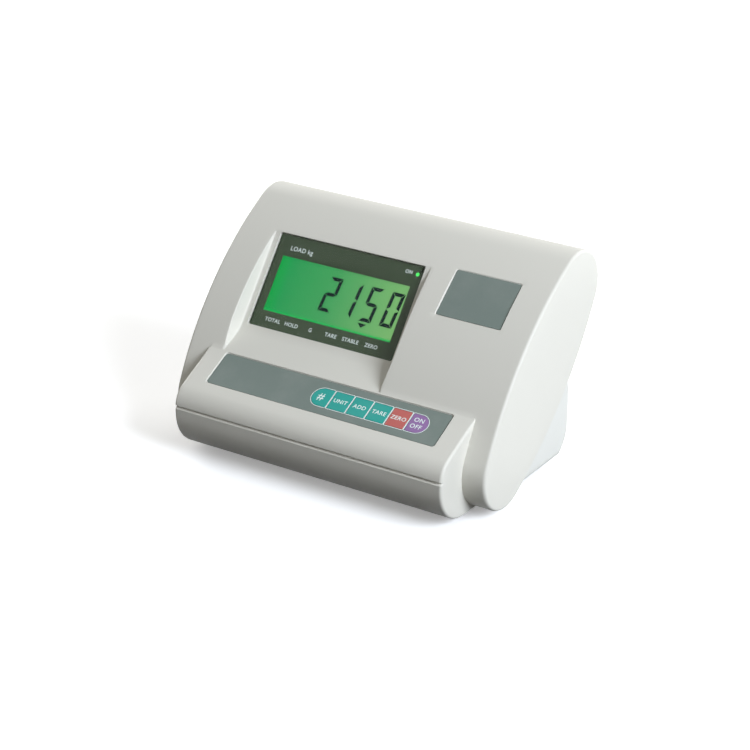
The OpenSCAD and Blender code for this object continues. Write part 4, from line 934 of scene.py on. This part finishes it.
class INDICATOR_OT_stage(bpy.types.Operator):
    """Floor, lamps, surroundings and camera"""
    bl_idname = "indicator.stage"
    bl_label = "Stage"

    def execute(self, context):
        scene = context.scene
        scene.view_settings.view_transform = "Standard"
        half = 6.0
        corners = np.array([[-half, -half, 0], [half, -half, 0], [half, half, 0], [-half, half, 0]])
        floor = mesh_object("floor", corners, [[0, 1, 2, 3]])
        dress(floor, floor_paint())
        scene.world = studio()
        # name, place, diameter, watts and tint
        for name, place, size, power, tint in (
                ("key_lamp", (1.95, -0.42, 1.2), 1.2, 63.0, (0.935, 0.995, 1.085)),
                ("fill_lamp", (-1.2, -1.8, 1.6), 1.6, 6.5, (1.0, 0.99, 0.95)),
                ("side_lamp", (-2.0, 1.1, 0.7), 1.4, 36.0, WHITE),
                ("back_lamp", (0.7, 2.0, 0.7), 1.4, 25.0, WHITE)):
            lamp = bpy.data.lights.new(name, "AREA")
            lamp.shape = "DISK"
            lamp.size = size
            lamp.energy = power
            lamp.color = tint
            aimed(name, lamp, place, (0, 0, 0.08))
        data = bpy.data.cameras.new("camera")
        data.sensor_width = 36.0
        data.lens = 110.2
        scene.camera = aimed("camera", data, (0.7901, -1.1971, 0.7060), (-0.0001, 0.0010, 0.05667))
        return {"FINISHED"}


class INDICATOR_OT_case(bpy.types.Operator):
    """Front shell with shelf, sunk display and seats"""
    bl_idname = "indicator.case"
    bl_label = "Front shell"

    def execute(self, context):
        looks = context.scene.indicator_looks
        grid, keep = housing()
        points, quads, tris = weld(grid.reshape(-1, 3), quads_of(grid.shape[:2], keep), gap=0.004)
        quads, tris = outward(points, quads, tris)
        shell = mesh_object("housing", points * MM, quads, tris, 33.0)
        solid = shell.modifiers.new("wall", "SOLIDIFY")
        solid.thickness = looks.shell_wall
        solid.offset = -1.0
        dress(shell, plastic("case_plastic", looks.case_colour, 0.46, specular=0.28), "case")
        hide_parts("front_shell")
        return {"FINISHED"}


class INDICATOR_OT_rear(bpy.types.Operator):
    """Rear shell, battery door, screws and feet"""
    bl_idname = "indicator.rear"
    bl_label = "Rear shell, door and fasteners"

    def execute(self, context):
        looks = context.scene.indicator_looks
        dress([smooth_copy("rear_shell", "rear_cover"), smooth_copy("battery_door", "door_leaf")],
              plastic("rear_plastic", looks.rear_colour, 0.5, scale=2400.0, marks=0.35))
        fixed = ("case", "display_board", "key_board", "main_board", "transformer")
        screws = copies([part + "_screws" for part in fixed], "_turned")
        dress(screws, metal("screw_steel", srgb(196, 197, 200), 0.3))
        dress(smooth_copy("rubber_feet", "feet"),
              plastic("foot_rubber", srgb(34, 34, 35), 0.8, grain=0.00006, scale=1500.0, dust=0.3, marks=0.1))
        return {"FINISHED"}


def segments(height, width, stroke, gap=0.22, tip=0.2):
    """The seven strokes of a digit as convex outlines, from its lower left corner, a gap apart. The
    middle one is a bar with two points. The others are cut at 45 degrees and mirror two of them."""
    h, w, t, m, half = height, width, stroke, height / 2, stroke / 2
    top = np.array([(gap, h), (w - gap, h), (w - gap - t, h - t), (gap + t, h - t)])
    left = np.array([(0, h - gap), (t, h - gap - t), (t, m + gap + half), (0, m + gap)])
    right = [w, 0] + left * [-1, 1]
    low, low_left, low_right = ([0, h] + line * [1, -1] for line in (top, left, right))
    bar = [(gap + tip, m), (gap + t, m + half), (w - gap - t, m + half), (w - gap - tip, m),
           (w - gap - t, m - half), (gap + t, m - half)]
    return dict(a=top, b=right, c=low_right, d=low, e=low_left, f=left, g=bar)


def on_window(x, down):
    """A place on the display, from one in the case: across from its middle, and below its top edge."""
    return x - WINDOW_X, WINDOW_H / 2 - down


def digit_shapes(looks):
    """Outlines of the reading's strokes, right to left, and of the marker below it. A point leans
    to the right by its height times the tangent of the digits' slant."""
    height, stroke, pitch = looks.digit_height / MM, looks.stroke / MM, looks.digit_pitch / MM
    lean, width = math.tan(math.radians(DIGIT_SLANT)), height * DIGIT_SHARE
    strokes = segments(height, width, stroke)
    shapes = []
    for k, char in enumerate(reversed(looks.reading[:5])):
        left = DIGITS_RIGHT - width - k * pitch
        shapes += [[on_window(left + x + y * lean, DIGITS_DOWN - y) for x, y in strokes[name]]
                   for name in DIGITS.get(char, "")]
    return shapes + [[on_window(x, down) for x, down in MARKER]]


def window_film():
    """Window: nearly clear, its gloss broken by handling."""
    n = made_of_nodes(bpy.data.materials.new("window_film"))
    return n.surface(Base_Color=srgb(28, 34, 28), Roughness=n.worn(0.06, more=0.1, amount=0.5), Alpha=0.07)


def lcd_light():
    """Liquid crystal glass: lit from behind, greener to the left and along its lower edge in a painted glow
    of the backlight's edges.
    """
    n = made_of_nodes(bpy.data.materials.new("lcd"))
    where = n.place()
    along = n.spread(n.part(where, "X"), (WINDOW_X - LCD_HALF) * MM, (WINDOW_X + LCD_HALF) * MM)
    lower = (WINDOW_C + UP * LCD_LOW) * MM
    rise = n.math("ADD", *[n.math("MULTIPLY", n.math("SUBTRACT", n.part(where, axis), float(low)), float(up))
                           for axis, low, up in zip("YZ", lower, UP)])
    # painted glow: a saturated band at the left edge, where the backlight's light falls on the side wall
    side = n.ramp(along, [
        (0.0, srgb(0, 164, 68)), (0.06, srgb(0, 158, 74)), (0.085, srgb(26, 156, 80)),
        (0.45, srgb(64, 162, 90)), (0.75, srgb(104, 176, 104)), (1.0, srgb(126, 188, 112))])
    # painted glow: a bright line along the lower edge, from the backlight's edge
    edge = n.ramp(n.spread(rise, 0.0, LCD_H * MM), [(0.0, 1.0), (0.035, 0.7), (0.06, 0.0)])
    tint = n.mix(edge, side, srgb(6, 186, 82))
    tint = n.mix(n.math("MULTIPLY", n.noise(where, 45.0, detail=1.0), 0.18), tint, srgb(70, 150, 100))
    return n.surface(Base_Color=n.mix(0.9, tint, BLACK), Roughness=0.35, Specular_IOR_Level=0.08,
                     Emission_Color=tint, Emission_Strength=1.0)


class INDICATOR_OT_display(bpy.types.Operator):
    """Window, printed border, liquid crystal glass, digits, words and lamp"""
    bl_idname = "indicator.display"
    bl_label = "Display"

    def execute(self, context):
        looks = context.scene.indicator_looks
        nodes = frame["nodes"]
        border = plastic("mask_print", looks.border_colour, 0.4, grain=0.00001, scale=3000.0, dust=0.0,
                         marks=0.2, specular=0.25)
        guide = plastic("light_guide", srgb(150, 230, 140), 0.3, emission=0.5)
        lamp = plastic("lamp_green", srgb(60, 225, 90), 0.2, grain=0.00001, emission=0.8)
        for node, material, slot in (
                ("display_window", window_film(), "window_film"), ("window_mask", border, "mask_print"),
                ("lcd_glass", lcd_light(), "lcd"), ("backlight", guide, "light_guide"),
                ("power_lamp", lamp, "lamp_green")):
            dress(nodes[node], material)
        ink = plastic("digit_ink", looks.digit_colour, 0.4, grain=0.000005, dust=0.0, specular=0.1)
        dress(prisms("digits", digit_shapes(looks), *DIGIT_LEVELS, DISPLAY), ink, body="case")
        white = plastic("print_white", looks.print_colour, 0.6, grain=0.000005, dust=0.0)
        for i, (text, size, x, down) in enumerate(BORDER_WORDS):
            word = lettering("border_word_%d" % i, text, size, on_window(x, down), DISPLAY, BORDER_LEVEL,
                             bold=0.07)
            dress(word, white, body="case")
        return {"FINISHED"}


def key_line(i, grow):
    """Outline of key i, grown by some distance: arcs of 16 points about the middles of its four
    corners. The radius is half the height on the row's two ends, else small."""
    w, h = KEY_PITCH - KEY_GAP + 2 * grow, KEY_H + 2 * grow
    k, r = KEY_CORNER + grow, h / 2
    radii = [k, r, r, k] if i == 0 else [r, k, k, r] if i == 5 else [k] * 4
    parts = []
    for q, ((sx, sy), rad) in enumerate(zip([(1, 1), (-1, 1), (-1, -1), (1, -1)], radii)):
        rad = max(rad, 0.05)
        middle = np.array([sx * (w / 2 - rad), sy * (h / 2 - rad)])
        parts.append(middle + rad * turn(np.linspace(90 * q, 90 * q + 90, 16)))
    return np.concatenate(parts)


def key_outline(name, i, width, place):
    """The pale line round key i: a flat band from an inner to an outer outline."""
    inner, outer = key_line(i, KEY_CLEAR), key_line(i, KEY_CLEAR + width)
    low, high = OUTLINE_LEVELS
    points = np.concatenate([level_line(inner, low), level_line(outer, low), level_line(outer, high),
                             level_line(inner, high)])
    quads, _ = outward(points, strip([(q, (q + 1) % 4) for q in range(4)], len(inner)))
    return mesh_object(name, placed(points, *place), quads)


class INDICATOR_OT_keys(bpy.types.Operator):
    """Key panel, six key caps, their outlines and words"""
    bl_idname = "indicator.keys"
    bl_label = "Keys"

    def execute(self, context):
        looks = context.scene.indicator_looks
        film = plastic("panel_film", looks.film_colour, 0.42, grain=0.00002, scale=3200.0, dust=0.08,
                       marks=0.4)
        dress([smooth_copy("key_panel", "panel"), smooth_copy("blank_plate", "plate")], film)
        white = plastic("key_print", looks.print_colour, 0.6, grain=0.000005, dust=0.0)
        tints = {"key_teal": looks.key_colour, "key_red": looks.zero_colour, "key_violet": looks.power_colour}
        paints = {slot: plastic(slot, tint, 0.4, grain=0.00001, scale=3200.0, marks=0.4)
                  for slot, tint in tints.items()}
        for i, (body, slot, words) in enumerate(KEYS):
            place = ((KEYS_X + (i - 2.5) * KEY_PITCH, *PANEL_C), SHELF_TILT)
            loops = [level_line(key_line(i, grow), z) for grow, z in CAP_PROFILE]
            cap = rings("cap_%s" % body, loops, place, 40.0)
            dress(cap, paints[slot], body)
            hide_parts(body)
            dress(key_outline("outline_%s" % body, i, looks.outline / MM, place), white, body="case")
            for k, (text, size, x, y) in enumerate(words):
                word = lettering("word_%s_%d" % (body, k), text, size, (x, y), place, CAP_TOP, bold=0.05)
                dress(word, white, body=body)
        return {"FINISHED"}


class INDICATOR_OT_sockets(bpy.types.Operator):
    """Load cell socket, serial socket and mains inlet"""
    bl_idname = "indicator.sockets"
    bl_label = "Sockets"

    def execute(self, context):
        dark = ("mains_inlet", "load_cell_insert", "serial_insert", "display_chips", "main_board_chips",
                "buzzer", "key_switches", "lcd_frame")
        dress(copies(dark, "_form"), plastic("dark_plastic", srgb(42, 42, 45), 0.45, grain=0.00002, dust=0.1))
        for slot, shade, rough, nodes in (
                ("nickel", (200, 200, 202), 0.22, ("load_cell_socket", "load_cell_nut", "serial_posts")),
                ("sheet_steel", (188, 189, 190), 0.34, ("serial_socket", "transformer_strap")),
                ("contact_metal", (214, 188, 120), 0.25,
                 ("inlet_pins", "load_cell_pins", "serial_pins", "battery_tabs"))):
            dress(copies(nodes, "_form"), metal(slot, srgb(*shade), rough))
        return {"FINISHED"}


class INDICATOR_OT_inside(bpy.types.Operator):
    """Boards, transformer, battery and cables inside the case"""
    bl_idname = "indicator.inside"
    bl_label = "Inside"

    def execute(self, context):
        nodes = frame["nodes"]
        for slot, names, shade, rough in INSIDE:
            dress([nodes[name] for name in names], plastic(slot, srgb(*shade), rough))
        dress(nodes["heat_sink"], metal("sink", srgb(206, 208, 210), 0.4))
        dress(nodes["transformer_core"], metal("core_steel", srgb(118, 120, 124), 0.55))
        return {"FINISHED"}


OPERATORS = (INDICATOR_OT_stage, INDICATOR_OT_case, INDICATOR_OT_rear, INDICATOR_OT_display,
             INDICATOR_OT_keys, INDICATOR_OT_sockets, INDICATOR_OT_inside)


class INDICATOR_PT_panel(bpy.types.Panel):
    """Lists the operators and the properties"""
    bl_idname = "INDICATOR_PT_panel"
    bl_label = "Indicator"
    bl_space_type = "VIEW_3D"
    bl_region_type = "UI"
    bl_category = "Indicator"

    def draw(self, context):
        for name in IndicatorLooks.__annotations__:
            self.layout.prop(context.scene.indicator_looks, name)
        for op in OPERATORS:
            self.layout.operator(op.bl_idname)


CLASSES = (IndicatorLooks, *OPERATORS, INDICATOR_PT_panel)


def register():
    for cls in CLASSES:
        bpy.utils.register_class(cls)
    bpy.types.Scene.indicator_looks = bpy.props.PointerProperty(type=IndicatorLooks)


def unregister():
    del bpy.types.Scene.indicator_looks
    for cls in reversed(CLASSES):
        bpy.utils.unregister_class(cls)


def main():
    """Registers the add-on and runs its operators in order."""
    register()
    for op in OPERATORS:
        area, _, name = op.bl_idname.partition(".")
        getattr(getattr(bpy.ops, area), name)()


if __name__ == "__main__":
    main()
